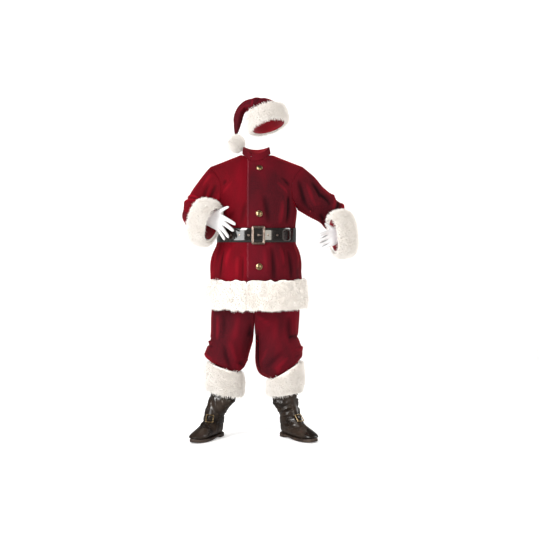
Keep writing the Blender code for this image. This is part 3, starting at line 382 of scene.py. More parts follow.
# %% Cloth and pile
VELVET_LOOK = {
    "rough": (0.75, 0.9), "bump": (0.4, 0.001), "scale": 7.0, "upright": 0.35,
    "sheen_roughness": 0.3, "sheen_tint": (1.0, 0.012, 0.035, 1.0), "specular_ior_level": 0.03,
}
# The last two colours of each velvet are painted shade for the crease troughs and painted highlight
# for their ridges.
velvet = finish(
    "red_velvet", (0.034, 0.0045, 0.007), (0.085, 0.004, 0.0085), flecks=(0.11, 0.006, 0.012),
    sheen_weight=0.44, fold_shade_and_highlight=((0.014, 0.0025, 0.004), (0.15, 0.005, 0.012)), **VELVET_LOOK,
)
# A brighter copy of the velvet, painted lit, for the panels that face the key lamp.
lit_velvet = finish(
    "red_velvet_nap_down", (0.066, 0.0025, 0.005), (0.12, 0.0025, 0.007),
    flecks=(0.15, 0.003, 0.009), sheen_weight=0.42,
    fold_shade_and_highlight=((0.022, 0.002, 0.003), (0.22, 0.005, 0.012)), **VELVET_LOOK,
)
lining = finish(
    "red_backing", (0.2, 0.006, 0.014), (0.28, 0.01, 0.018), (0.7, 0.85), (0.3, 0.0006),
    sheen_weight=0.3, specular_ior_level=0.1,
)
# The pile's faint emission is a painted glow that lightens the shade between its blades.
pile = finish(
    "white_pile", (0.82, 0.785, 0.745), (0.87, 0.845, 0.81), (0.85, 0.95), (0.15, 0.001),
    scale=20.0, flecks=(0.85, 0.8, 0.765), grain=(90.0, 500.0), sheen_weight=0.15,
    specular_ior_level=0.1, emission_color=(1.0, 0.965, 0.925, 1.0), emission_strength=0.035,
)
knit = finish(
    "glove_knit", (0.54, 0.54, 0.55), (0.62, 0.62, 0.63), (0.8, 0.9), (0.5, 0.0008),
    grain=(420.0, 1100.0), specular_ior_level=0.15,
)
print("cloth:", velvet.name, lit_velvet.name, lining.name, pile.name, knit.name)

# %% Vinyl, thread and metal
patent = finish(
    "strap_vinyl", (0.006, 0.005, 0.005), (0.012, 0.01, 0.009), (0.12, 0.2), (0.1, 0.0012),
    grain=(12.0, 260.0), coat_weight=1.0, coat_roughness=0.03,
)
boot_skin = finish(
    "boot_skin", (0.009, 0.0057, 0.004), (0.026, 0.0158, 0.0102), (0.24, 0.38), (0.45, 0.0012),
    scale=14.0, grain=(210.0, 800.0), specular_ior_level=0.3, coat_weight=0.4, coat_roughness=0.14,
)
sole_rubber = finish(
    "sole_rubber", (0.022, 0.013, 0.009), (0.06, 0.036, 0.024), (0.4, 0.55), (0.4, 0.0008),
    scale=30.0,
)
red_thread = finish(
    "red_thread", (0.3, 0.01, 0.03), (0.42, 0.02, 0.05), (0.6, 0.7), (0.2, 0.0004), sheen_weight=0.4
)
dark_thread = finish(
    "dark_thread", (0.03, 0.022, 0.018), (0.06, 0.045, 0.035), (0.6, 0.7), (0.2, 0.0004)
)
white_thread = finish(
    "white_thread", (0.62, 0.62, 0.64), (0.7, 0.7, 0.72), (0.7, 0.8), (0.2, 0.0004)
)
brass = worn_metal("old_brass", (0.2, 0.135, 0.065), (0.66, 0.49, 0.28), 0.3)
bronze = worn_metal("old_bronze", (0.17, 0.125, 0.105), (0.55, 0.44, 0.38), 0.32)
print("finishes:", [one.name for one in bpy.data.materials])

# %% [markdown]
# ## From a packed wall to soft cloth
# A packed wall has flat facets. Its copy is merged and its triangles are paired, then a Subdivision
# Surface rounds it. The cut edges of the cloth would shrink under subdivision, so every sharp edge
# gets a crease of one, which keeps hems and seams where they are. The result is frozen to a plain
# mesh.

# %% Mesh helpers


def read(made, what):
    """The points or normals of a mesh, a row for each vertex."""
    values = np.empty(len(made.data.vertices) * 3, np.float32)
    made.data.vertices.foreach_get(what, values)
    return values.reshape(-1, 3).astype(float)


def move_points(made, points):
    made.data.vertices.foreach_set("co", np.asarray(points, np.float32).ravel())
    made.data.update()


def write_share(made, name, values):
    """Keeps a number for each point of a mesh, where shaders and node trees can read it."""
    chart = made.data.attributes.new(name, "FLOAT", "POINT")
    chart.data.foreach_set("value", values.astype(np.float32))


def noise_at(points, scale, shift=(0.0, 0.0, 0.0)):
    """A smooth random value at each point, from about -1 to 1."""
    return np.array([noise.noise(Vector(point) * scale + Vector(shift)) for point in points])


def search_tree(mesh):
    """A tree that finds the nearest face of a mesh, or the first one along a ray."""
    points = [vertex.co for vertex in mesh.vertices]
    return BVHTree.FromPolygons(points, [polygon.vertices for polygon in mesh.polygons])


def faces_of(made):
    """How many triangles a mesh has."""
    return sum(len(polygon.vertices) - 2 for polygon in made.data.polygons)


def smooth(mesh):
    mesh.polygons.foreach_set("use_smooth", [True] * len(mesh.polygons))


def frozen(made):
    """Turns an object's modifiers into a plain mesh."""
    graph = bpy.context.evaluated_depsgraph_get()
    mesh = bpy.data.meshes.new_from_object(made.evaluated_get(graph), depsgraph=graph)
    made.modifiers.clear()
    made.data = mesh
    mesh.name = made.name
    smooth(mesh)
    return made


print("helpers: read, move_points, write_share, noise_at, search_tree, faces_of, frozen")

# %% Copy and round a wall
MERGE = 1e-5
FLAT_PAIR, SQUARE_PAIR = math.radians(50.0), math.radians(80.0)


def rounded_copy(node, name, levels, crease_over=55.0):
    """A subdivided copy of a solid, with its sharp edges held."""
    shape = bmesh.new()
    shape.from_mesh(solids[node].data)
    bmesh.ops.remove_doubles(shape, verts=shape.verts, dist=MERGE)
    bmesh.ops.join_triangles(
        shape, faces=shape.faces, angle_face_threshold=FLAT_PAIR, angle_shape_threshold=SQUARE_PAIR
    )
    held = shape.edges.layers.float.new("crease_edge")
    for edge in shape.edges:
        if len(edge.link_faces) == 2 and edge.calc_face_angle(0.0) > math.radians(crease_over):
            edge[held] = 1.0
    mesh = bpy.data.meshes.new(name + "_cage")
    shape.to_mesh(mesh)
    shape.free()
    made = linked(name, mesh)
    rounding = made.modifiers.new("rounding", "SUBSURF")
    rounding.levels = levels
    rounding.render_levels = levels
    return frozen(made)


def cover(made, slot, finishes, *replaced):
    """Gives a piece its finishes, fixes it to the body and retires the solid it covers; slot is not
    used.
    """
    if finishes:
        made.data.materials.clear()
        for material in finishes:
            made.data.materials.append(material)
    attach(made, "root")
    if replaced:
        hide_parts(*replaced)
    print(made.name, faces_of(made), "triangles")
    return made


def refined(node, name, finish_of, slot, levels=2, crease_over=80.0):
    """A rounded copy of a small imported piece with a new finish."""
    return cover(rounded_copy(node, name, levels, crease_over), slot, [finish_of], node)


print("helpers: rounded_copy, cover, refined")

# %% [markdown]
# ## Where a crease lies
# A crease is easiest to chart on the limb it wraps: how far along the limb, and how far round it.
# Each garment therefore gets a `limb`, a bent line through its hollow. For every point of the cloth
# the code below finds the distance along that line and the turn round it, with 0 at the front and
# 90 on the wearer's left.

# %% Limbs
FORWARD = (0.0, -1.0, 0.0)
TINY = 1e-6


def along_and_round(points, limb, ahead=FORWARD):
    """Distance along a limb (mm), turn (degrees), radius (m) and outward direction of points."""
    line = np.array([spot(*place) for place in limb])
    starts, steps = line[:-1], np.diff(line, axis=0)
    lengths = np.linalg.norm(steps, axis=1)
    runs = np.concatenate([[0.0], np.cumsum(lengths)])[:-1]
    best = np.full(len(points), 1e9)
    run = np.zeros(len(points))
    away = np.zeros(points.shape)
    bearing = np.zeros(points.shape)
    for start, step, length, before in zip(starts, steps, lengths, runs):
        share = np.clip((points - start) @ step / length**2, 0.0, 1.0)
        offset = points - start - share[:, None] * step
        distance = np.linalg.norm(offset, axis=1)
        nearer = distance < best
        best[nearer] = distance[nearer]
        run[nearer] = before + share[nearer] * length
        away[nearer] = offset[nearer]
        bearing[nearer] = step / length
    away /= np.maximum(best, TINY)[:, None]
    front = np.array(ahead) - bearing * (bearing @ np.array(ahead))[:, None]
    front /= np.maximum(np.linalg.norm(front, axis=1), TINY)[:, None]
    left = np.cross(bearing, front) * (1.0 if limb[-1][2] > limb[0][2] else -1.0)
    turn = np.degrees(np.arctan2((away * left).sum(1), (away * front).sum(1)))
    return run * 1000.0, turn, best, away


def closeness(points, others, reach):
    """One where a point touches other solids' faces, nought at `reach` millimetres from them."""
    gaps = np.full(len(points), 1e9)
    for name in others:
        tree = search_tree(solids[name].data)
        for index, point in enumerate(points):
            found = tree.find_nearest(Vector(point), reach / 1000.0)[3]
            if found is not None:
                gaps[index] = min(gaps[index], found)
    share = np.clip(1.0 - gaps * 1000.0 / reach, 0.0, 1.0)
    return share * share * (3.0 - 2.0 * share)


print("a crease is charted by distance along a limb and turn round it")

# %% [markdown]
# ## How a crease is shaped
# A crease is a soft bump across its width, tapered to nothing at both ends. It may not be deeper
# than it is wide, or the cloth would cut through itself. Near a seam or a fitting all creases die
# out, so the pieces still meet there. How far each point was pushed is kept on the mesh as an
# attribute named fold. The velvet reads it to paint shade into its colour, nearly black down in a
# trough, and a highlight on a ridge.

# %% Creases
DEEPER = 1.2
STEEPEST = 1.05
FULL_FOLD, MOST_FOLD = 0.0065, 1.5
INNER_SINK, SINK_IN_FULL = 0.0013, 0.004


def one_crease(crease, run, turn, radius):
    """How far one crease pushes each point, running straight from its start to its end."""
    start_run, start_turn, end_run, end_turn, wide, deep = crease
    around = math.radians(end_turn - start_turn) * radius * 1000.0
    ahead_by = end_run - start_run
    spun = (turn - start_turn + 180.0) % 360.0 - 180.0
    across = np.radians(spun) * radius * 1000.0
    length = np.maximum(ahead_by**2 + around**2, 1.0)
    share = np.clip(((run - start_run) * ahead_by + across * around) / length, 0.0, 1.0)
    gap = np.hypot(run - start_run - share * ahead_by, across - share * around)
    taper = np.sqrt(np.clip(4.0 * share * (1.0 - share), 0.0, 1.0))
    deep = max(-STEEPEST * wide, min(deep * DEEPER, STEEPEST * wide))
    return deep / 1000.0 * np.exp(-((gap / wide) ** 2)) * taper


def creased(made, limb, creases, uneven, wave, seed, held_by=(), reach=24.0, ahead=FORWARD):
    """Creases a garment over a slow unevenness, and calms both where other solids hold it."""
    points = read(made, "co")
    run, turn, radius, away = along_and_round(points, limb, ahead)
    push = noise_at(points, wave, (seed, 0.0, 0.0)) * uneven
    for crease in creases:
        push += one_crease(crease, run, turn, radius)
    if held_by:
        push *= 1.0 - closeness(points, held_by, reach)
    # A steep crease would let the inner face show through the outer one, so it is sunk further.
    inner = (read(made, "normal") * away).sum(axis=1) < 0.0
    sunk = np.where(inner, INNER_SINK * np.clip(np.abs(push) / SINK_IN_FULL, 0.0, 1.0), 0.0)
    move_points(made, points + away * (push - sunk)[:, None])
    # The push is kept as the fold attribute, from which the velvet paints shade in troughs and
    # highlights on ridges.
    write_share(made, "fold", np.clip(push / FULL_FOLD, -MOST_FOLD, MOST_FOLD))
    return made


print("deepest crease allowed:", STEEPEST, "times its width")

# %% [markdown]
# ## The jacket
# The jacket hangs from the shoulders, is drawn in by the belt and stands out over the belly. Its
# creases start where something holds the cloth: under the belt, at the armpits, at the elbows and
# above the fur of the cuffs. Each row of the tables is one crease: where it starts and ends, how
# wide it is, and how far it stands out, with sunk ones below zero.

# %% Jacket creases
TORSO = ((-3, 0, 690), (-3, 0, 1570))
JACKET_CREASES = (
    # run, turn, run, turn, width, out
    (300, -19, 168, -20, 7, -10),
    (300, -27, 165, -28, 12, 5),
    (345, -40, 230, -44, 12, 5),
    (335, -52, 175, -58, 13, -7),
    (355, -66, 250, -72, 9, 6),
    (300, -78, 180, -80, 11, -6),
    (345, 12, 205, 14, 14, 4),
    (350, 24, 168, 27, 15, -7),
    (350, 38, 240, 42, 12, 6),
    (330, 52, 170, 56, 14, -7),
    (356, 67, 215, 64, 9, 6),
    (340, 78, 180, 76, 10, -7),
    (350, 92, 200, 96, 12, 6),
    (460, -24, 590, -16, 14, -5),
    (462, -40, 560, -54, 12, 6),
    (470, -58, 640, -74, 14, -8),
    (458, -70, 540, -80, 9, 5),
    (460, 22, 620, 14, 17, -6),
    (458, 38, 600, 46, 15, 6),
    (462, 52, 650, 60, 13, -8),
    (470, 68, 560, 78, 10, 6),
    (640, -72, 700, -58, 12, -7),
    (600, -66, 690, -46, 10, 4),
    (640, 70, 715, 52, 12, -8),
    (596, 64, 690, 40, 11, 5),
    (350, 118, 185, 122, 13, -8),
    (345, 136, 215, 140, 14, 6),
    (352, 158, 180, 155, 13, -7),
    (340, 176, 230, 180, 16, 6),
    (350, 200, 175, 203, 13, -8),
    (345, 222, 200, 220, 14, 6),
    (350, 244, 185, 240, 12, -7),
    (458, 124, 610, 112, 14, -8),
    (460, 150, 580, 144, 15, 6),
    (456, 172, 640, 176, 14, -6),
    (460, 196, 600, 206, 15, 6),
    (458, 226, 630, 240, 13, -8),
    (640, 132, 720, 152, 13, 6),
    (650, 226, 715, 208, 13, 6),
)

# %% Sleeve creases
RIGHT_SLEEVE = (
    (-200, 0, 1420), (-262, -2, 1330), (-298, -2, 1267), (-317, -26, 1236),
    (-330, -64, 1206), (-323, -110, 1187), (-292, -152, 1173), (-250, -190, 1150),
)
RIGHT_SLEEVE_CREASES = (
    # run, turn, run, turn, width, out
    (30, 40, 150, 62, 8, -9),
    (50, 12, 170, 36, 9, -8),
    (45, 28, 130, 46, 8, 5),
    (70, -20, 190, 10, 11, -6),
    (20, -50, 110, -30, 12, 5),
    (196, -100, 214, -10, 9, 8),
    (214, -110, 236, -20, 8, -9),
    (236, -90, 262, 0, 9, 7),
    (266, -120, 286, -30, 8, -8),
    (292, -100, 306, -20, 8, 6),
    (180, 60, 230, 130, 9, -8),
    (210, 70, 262, 150, 9, 6),
    (150, 150, 190, 220, 12, -8),
    (200, 160, 240, 230, 12, 7),
    (240, 170, 285, 240, 11, -8),
    (90, 120, 170, 180, 13, 6),
)
LEFT_SLEEVE = (
    (205, 0, 1430), (262, 5, 1345), (300, 10, 1284), (346, 30, 1258), (390, 44, 1222),
    (426, 48, 1182), (456, 34, 1145), (474, -10, 1118), (473, -58, 1106), (450, -100, 1100),
    (420, -135, 1092),
)
LEFT_SLEEVE_CREASES = (
    # run, turn, run, turn, width, out
    (60, 80, 245, 52, 13, 8),
    (90, 52, 262, 26, 14, -10),
    (40, -10, 190, -40, 12, -8),
    (60, 20, 200, -8, 13, 5),
    (236, 110, 286, 10, 10, 8),
    (272, 120, 310, 0, 9, -11),
    (306, 110, 334, 20, 11, 8),
    (338, 120, 352, 10, 8, -10),
    (362, 110, 372, 0, 10, 8),
    (390, 120, 396, 10, 8, -10),
    (414, 110, 412, 20, 9, 6),
    (240, -30, 330, -80, 11, -7),
    (290, -10, 372, -60, 10, 6),
    (120, 130, 210, 200, 13, -8),
    (210, 140, 270, 220, 12, 7),
    (280, 150, 320, 230, 11, -8),
    (340, 150, 372, 230, 11, 7),
    (400, 150, 420, 230, 10, -7),
)

print("creases:", len(JACKET_CREASES), len(RIGHT_SLEEVE_CREASES), len(LEFT_SLEEVE_CREASES))

# %% Jacket and sleeves
FACES_IN = -0.3
TUCK_REACH, TUCK_BACK, TUCK_IN = 7.0, 0.006, 0.003


def inside_out(made, limb):
    """Gives the inner face of a wall its second finish, the dull back of the cloth."""
    middles = np.array([polygon.center[:] for polygon in made.data.polygons])
    normals = np.array([polygon.normal[:] for polygon in made.data.polygons])
    away = along_and_round(middles, limb)[3]
    inner = (normals * away).sum(axis=1) < FACES_IN
    made.data.polygons.foreach_set("material_index", inner.astype(np.int32))


def dress(node, limb, creases, finishes, uneven, wave, seed, held_by=()):
    """Covers a packed wall with a rounded, creased one of the same name plus _cloth."""
    made = rounded_copy(node, node + "_cloth", 2)
    creased(made, limb, creases, uneven, wave, seed, held_by)
    cover(made, "velvet", finishes, node)
    if len(finishes) > 1:
        inside_out(made, limb)
    return made


PANELS = ("jacket_back", "jacket_front_left", "jacket_front_right")
SLEEVES = ("sleeve_front_left", "sleeve_back_left", "sleeve_front_right", "sleeve_back_right")
FITTINGS = ("belt_strap", "button_1", "button_2", "button_3")
# The front panel and the front of the sleeve on the wearer's right face the key lamp and get the
# painted lit copy of the velvet.
jacket_cloth = {
    node: dress(node, TORSO, JACKET_CREASES, [outer, lining], 0.0022, 7.0, 3.0, SLEEVES + FITTINGS)
    for node, outer in zip(PANELS, (velvet, velvet, lit_velvet))
}
sleeve_cloth = {
    node: dress(node, limb, creases, [outer, lining], 0.0024, 11.0, seed, PANELS)
    for node, limb, creases, outer, seed in (
        ("sleeve_front_right", RIGHT_SLEEVE, RIGHT_SLEEVE_CREASES, lit_velvet, 5.0),
        ("sleeve_back_right", RIGHT_SLEEVE, RIGHT_SLEEVE_CREASES, velvet, 5.0),
        ("sleeve_front_left", LEFT_SLEEVE, LEFT_SLEEVE_CREASES, velvet, 7.0),
        ("sleeve_back_left", LEFT_SLEEVE, LEFT_SLEEVE_CREASES, velvet, 7.0),
    )
}
# The head of each sleeve is tucked under the armhole, as its seam allowance is.
for node, made in sleeve_cloth.items():
    limb = RIGHT_SLEEVE if node.endswith("right") else LEFT_SLEEVE
    points = read(made, "co")
    tuck = closeness(points, PANELS, TUCK_REACH)
    back = np.array(spot(*limb[0]) - spot(*limb[1]))
    back /= np.linalg.norm(back)
    away = along_and_round(points, limb)[3]
    move_points(made, points + (back * TUCK_BACK - away * TUCK_IN) * tuck[:, None])
dress("jacket_collar", TORSO, (), [velvet, lining], 0.0012, 20.0, 9.0)

# %% [markdown]
# ## The trousers
# The legs are baggy and caught by the fur above the boots, so the cloth stacks up there in bulges,
# mostly on the outside, while long soft folds run down from the crotch.

# %% Trousers
RIGHT_LEG = (
    (-178, -14, 290), (-178, -14, 380), (-171, -14, 420), (-163, -14, 455), (-150, -14, 490),
    (-140, -14, 535), (-134, -14, 590), (-132, -14, 700), (-124, -14, 820), (-108, -14, 1010),
)
RIGHT_LEG_CREASES = (
    # run, turn, run, turn, width, out
    (248, -4, 80, 62, 15, 6),
    (235, -24, 90, 26, 12, -6),
    (390, -48, 230, -44, 15, 6),
    (400, -30, 240, -26, 17, -5),
    (420, 50, 268, 62, 24, -9),
    (400, 20, 250, 8, 20, 4),
    (172, -130, 182, -48, 7, -13),
    (196, -120, 206, -55, 9, 7),
    (222, -110, 226, -60, 8, -6),
    (136, -125, 130, -40, 14, 8),
    (112, -60, 96, 0, 9, -6),
    (150, 30, 120, 90, 12, -6),
    (180, 60, 160, 110, 12, 5),
    (150, 140, 140, 200, 12, 8),
    (185, 130, 178, 215, 9, -10),
    (212, 150, 205, 220, 11, 7),
    (400, 150, 240, 160, 20, -7),
    (420, 190, 250, 200, 20, 7),
    (430, 225, 260, 215, 18, -6),
)
LEFT_LEG = (
    (152, -14, 280), (152, -14, 362), (143, -14, 380), (127, -14, 398), (118, -14, 436),
    (110, -14, 476), (108, -14, 530), (108, -14, 590), (110, -14, 700), (106, -14, 820),
    (92, -14, 1010),
)
LEFT_LEG_CREASES = (
    # run, turn, run, turn, width, out
    (420, -58, 345, -20, 12, 6),
    (400, -70, 300, -62, 16, -6),
    (395, 60, 300, 64, 14, 6),
    (400, 40, 240, 44, 18, -5),
    (300, -78, 120, -72, 16, -8),
    (285, 40, 275, 118, 9, -7),
    (152, 50, 140, 120, 8, -12),
    (196, 50, 194, 120, 16, 7),
    (170, 30, 96, -30, 14, 6),
    (205, 20, 130, -50, 15, -5),
    (240, -20, 150, -64, 14, 5),
    (400, 0, 250, -8, 22, 4),
    (160, 140, 150, 210, 12, 8),
    (190, 135, 184, 215, 9, -10),
    (220, 150, 210, 220, 11, 7),
    (400, 150, 240, 150, 20, -7),
    (420, 190, 250, 180, 20, 7),
    (430, 220, 260, 225, 18, -6),
)
for side, other, limb, creases in (
    ("right", "left", RIGHT_LEG, RIGHT_LEG_CREASES),
    ("left", "right", LEFT_LEG, LEFT_LEG_CREASES),
):
    for face in ("front", "back"):
        node, across_seam = f"trouser_{face}_{side}", f"trouser_{face}_{other}"
        dress(node, limb, creases, [velvet, lining], 0.0024, 8.0, 11.0, (across_seam,))
dress("trouser_waistband", TORSO, (), [velvet], 0.0, 8.0, 0.0)

# %% [markdown]
# ## The hat
# The cone of the hat has fallen to the wearer's right and hangs over the fur, so it is creased
# across at the fold and lengthwise where it hangs. Its limb runs through the hollow of the cone
# from the head to the tip.

# %% Hat crown
HAT_LIMB = (
    (56, 16, 1690), (22, 15, 1782), (-7, 17, 1796), (-38, 20, 1797), (-68, 23, 1788),
    (-92, 26, 1763), (-103, 28, 1721), (-108, 29, 1680), (-114, 30, 1640),
)
HAT_CREASES = (
    # run, turn, run, turn, width, out
    (112, -70, 136, 60, 8, -5),
    (128, -60, 150, 50, 8, 5),
    (150, -40, 226, -20, 7, -6),
    (150, 10, 250, 0, 8, 5),
    (190, -80, 300, -50, 7, -4),
    (210, 60, 300, 40, 7, -4),
    (150, 150, 240, 190, 9, -6),
    (110, 120, 150, 230, 9, 5),
    (130, 90, 290, 90, 26, 6),
    (130, -90, 290, -90, 26, 6),
)
dress("hat_crown", HAT_LIMB, HAT_CREASES, [velvet, lining], 0.0018, 14.0, 13.0, ("hat_fur",))

# %% [markdown]
# ## Faux fur
# Faux fur is a knitted backing with a long pile that clumps and leans down. The bands are too deep
# for a bump, so their ragged edges and tufts are real geometry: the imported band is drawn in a
# little and made lumpy, its rims are rippled, and thousands of thin bent blades are scattered over
# it with Geometry Nodes.

# %% Fur base
LUMPS, FINE_LUMPS, RIPPLES = 24.0, 55.0, 26.0
FINE_SHIFT, FINE_SHARE = (7.0, 0.0, 0.0), 0.6
DRAWN_IN = 0.0075
RIM_REACH = 0.07
SLIT_X, SLIT_HALF, SLIT_BEHIND = -0.054, 0.014, -0.15


def padded_core(node, lump, ripple, covered):
    """A band's body under its pile: drawn in where pile grows, made lumpy, its rims rippled."""
    made = rounded_copy(node, node + "_pile", 2, 89.0)
    points = read(made, "co")
    normals = read(made, "normal")
    share = covered(points)
    lumps = noise_at(points, LUMPS) * lump
    lumps += noise_at(points, FINE_LUMPS, FINE_SHIFT) * lump * FINE_SHARE
    # The two ends of the hem band meet at the front slit, and may not grow into each other.
    at_slit = (np.abs(points[:, 0] - SLIT_X) < SLIT_HALF) & (points[:, 1] < SLIT_BEHIND)
    normals[at_slit, 0] = 0.0
    moved = points + normals * ((lumps - DRAWN_IN) * share)[:, None]
    above = points[:, 2] - 0.5 * (points[:, 2].min() + points[:, 2].max())
    near_rim = np.clip(np.abs(above) / RIM_REACH, 0.0, 1.0) ** 3
    rims = np.column_stack([points[:, :2], np.where(above < 0.0, -1.0, 1.0)])
    moved[:, 2] += noise_at(rims, RIPPLES) * near_rim * share * ripple
    move_points(made, moved)
    return made


print("pile starts", DRAWN_IN * 1000.0, "mm below the packed face")

# %% Blade
BLADE_LONG, BLADE_THICK, BLADE_BEND = 0.016, 0.0014, 0.005
BLADE_RINGS = (
    # share of the length, share of the thickness
    (0.0, 1.0),
    (0.55, 0.72),
)


def blade_mesh():
    """One tuft: a bent three-sided spike a millimetre or two thick."""
    points = []
    for share, width in BLADE_RINGS:
        for corner in range(3):
            angle = 2.0 * math.pi * corner / 3
            x = BLADE_THICK * width * math.cos(angle) + BLADE_BEND * share * share
            points.append((x, BLADE_THICK * width * math.sin(angle), BLADE_LONG * share))
    points.append((BLADE_BEND, 0.0, BLADE_LONG))
    faces = []
    for corner in range(3):
        after = (corner + 1) % 3
        faces.append((corner, after, 3 + after, 3 + corner))
    faces += [(3 + corner, 3 + (corner + 1) % 3, 6) for corner in range(3)]
    faces.append((2, 1, 0))
    return mesh_from("blade", points, faces)


blade = bpy.data.objects.new("blade", blade_mesh())
print("one blade has", faces_of(blade), "triangles")

# %% [markdown]
# ## Scattering the pile
# The tree has named inputs for how many blades grow on a square metre, how far they lean down, how
# much the clumps wander, how much their length varies and the seed. A blade's own Z axis points
# along the surface normal, pulled down by gravity and sideways by a slow noise, which makes
# neighbours clump.

# %% Fur tree
CLUMPS = 24.0
STRAY = 0.22
FULL_TURN = 6.2832


def random_in(tree, data_type, seed, inputs):
    """A random value for each blade, between two sockets' values."""
    node = node_in(tree, "FunctionNodeRandomValue", {**inputs, "Seed": seed}, data_type=data_type)
    return node.outputs[0 if data_type == "FLOAT_VECTOR" else 1]


def leaning(tree, given, normal):
    """The turn of each blade: along its normal, drooping, clumped, a little astray and spun."""
    place = node_in(tree, "GeometryNodeInputPosition", {}).outputs["Position"]
    clump = node_in(tree, "ShaderNodeTexNoise", {"Vector": place, "Scale": CLUMPS, "Detail": 2.0})
    centred = vectors(tree, "SUBTRACT", clump.outputs["Color"], (0.5, 0.5, 0.5))
    inputs = {0: centred, "Scale": given["Wander"]}
    wander = node_in(tree, "ShaderNodeVectorMath", inputs, operation="SCALE").outputs["Vector"]
    sink = maths(tree, "MULTIPLY", given["Droop"], -1.0)
    down = node_in(tree, "ShaderNodeCombineXYZ", {"Z": sink})
    lean = vectors(tree, "ADD", wander, down.outputs["Vector"])
    stray = random_in(tree, "FLOAT_VECTOR", given["Seed"], {0: (-STRAY,) * 3, 1: (STRAY,) * 3})
    loose = vectors(tree, "ADD", vectors(tree, "ADD", normal, lean), stray)
    turn = node_in(tree, "FunctionNodeAlignRotationToVector", {"Vector": loose}, axis="Z")
    angle = random_in(tree, "FLOAT", given["Seed"], {2: 0.0, 3: FULL_TURN})
    inputs = {"Axis": (0.0, 0.0, 1.0), "Angle": angle}
    spin = node_in(tree, "FunctionNodeAxisAngleToRotation", inputs)
    inputs = {"Rotation": turn.outputs["Rotation"], "Rotate By": spin.outputs["Rotation"]}
    spun = node_in(tree, "FunctionNodeRotateRotation", inputs, rotation_space="LOCAL")
    return spun.outputs["Rotation"]


def painted_copies(tree, copies, finish_of, leave, base=None):
    """Copies a shape to points, joins the copies to a base, paints all of it and sends it out."""
    copied = node_in(tree, "GeometryNodeInstanceOnPoints", copies).outputs["Instances"]
    shape = node_in(tree, "GeometryNodeRealizeInstances", {"Geometry": copied}).outputs["Geometry"]
    if base is not None:
        joined = node_in(tree, "GeometryNodeJoinGeometry", {"Geometry": base})
        feed(tree, joined, {"Geometry": shape})
        shape = joined.outputs["Geometry"]
    painted = node_in(tree, "GeometryNodeSetMaterial", {"Geometry": shape, "Material": finish_of})
    feed(tree, leave, {"Geometry": painted.outputs["Geometry"]})
    return tree


def fur_tree():
    """Scatters a blade over a mesh where its pile attribute says, and keeps the mesh under it."""
    inputs = {
        "Geometry": "Geometry", "Density": 30000.0, "Droop": 0.6, "Wander": 0.9, "Vary": 0.35,
        "Seed": "Int", "Blade": "Object", "Finish": "Material",
    }
    tree, given, leave = tree_with("Geometry", "fur_scatter", inputs, ("Geometry",))
    coverage = node_in(tree, "GeometryNodeInputNamedAttribute", {"Name": "pile"}, data_type="FLOAT")
    density = maths(tree, "MULTIPLY", given["Density"], coverage.outputs["Attribute"])
    inputs = {"Mesh": given["Geometry"], "Density": density, "Seed": given["Seed"]}
    scatter = node_in(tree, "GeometryNodeDistributePointsOnFaces", inputs).outputs
    shortest = maths(tree, "SUBTRACT", 1.0, given["Vary"])
    longest = maths(tree, "ADD", 1.0, given["Vary"])
    tall = random_in(tree, "FLOAT", given["Seed"], {2: shortest, 3: longest})
    stretch = node_in(tree, "ShaderNodeCombineXYZ", {"X": 1.0, "Y": 1.0, "Z": tall})
    shape = node_in(tree, "GeometryNodeObjectInfo", {"Object": given["Blade"]})
    copies = {
        "Points": scatter["Points"],
        "Instance": shape.outputs["Geometry"],
        "Rotation": leaning(tree, given, scatter["Normal"]),
        "Scale": stretch.outputs["Vector"],
    }
    return painted_copies(tree, copies, given["Finish"], leave, given["Geometry"])


FUR = fur_tree()
print(FUR.name, "has", len(FUR.nodes), "nodes")

# %% Growing it


def run_tree(made, tree, values):
    """Runs a tree on a piece, inputs set by their sockets' identifiers, and freezes the result."""
    modifier = made.modifiers.new(tree.name, "NODES")
    modifier.node_group = tree
    for socket in tree.interface.items_tree:
        if socket.in_out == "INPUT" and socket.name in values:
            modifier[socket.identifier] = values[socket.name]
    return frozen(made)


def everywhere(points):
    return np.ones(len(points))


def band(node, density, droop, wander, seed, covered, lump, ripple):
    """Covers a packed band or pom-pom with a core and its pile."""
    made = padded_core(node, lump, ripple, covered)
    write_share(made, "pile", covered(read(made, "co")))
    values = {"Density": density, "Droop": droop, "Wander": wander, "Seed": seed}
    run_tree(made, FUR, {**values, "Blade": blade, "Finish": pile})
    return cover(made, "plush", (), node)


print("helpers: run_tree, everywhere, band")

# %% [markdown]
# A band needs no pile on the side that lies on the wearer's limb, so each one gets a `covered`
# rule: one over its outer side and its rims, and nought in its bore.

# %% Where pile grows
COVER_SLOPE = 60.0
CROWN_STARTS, CLEAR_OF_CROWN, CLEAR_BELOW = 80.0, 5.0, 2.0


def outside(across, deep):
    """One outside an ellipse of radius one, nought inside it."""
    return np.clip((np.hypot(across, deep) - 1.0) * COVER_SLOPE, 0.0, 1.0)


def outside_ellipse(middle, wide, deep):
    """One outside an upright elliptic bore."""

    def covered(points):
        x = (points[:, 0] * 1000.0 - middle[0]) / wide
        y = (points[:, 1] * 1000.0 - middle[1]) / deep
        return outside(x, y)

    return covered


def outside_slanted(middle, axis, wide, deep):
    """One outside a slanted elliptic bore, given by its middle, axis and half-widths."""
    along = Vector(axis).normalized()
    side = along.cross(Vector((0.0, 1.0, 0.0))).normalized()
    up = side.cross(along)

    def covered(points):
        offset = (points - np.array(spot(*middle))) * 1000.0
        return outside(offset @ np.array(side) / wide, offset @ np.array(up) / deep)

    return covered


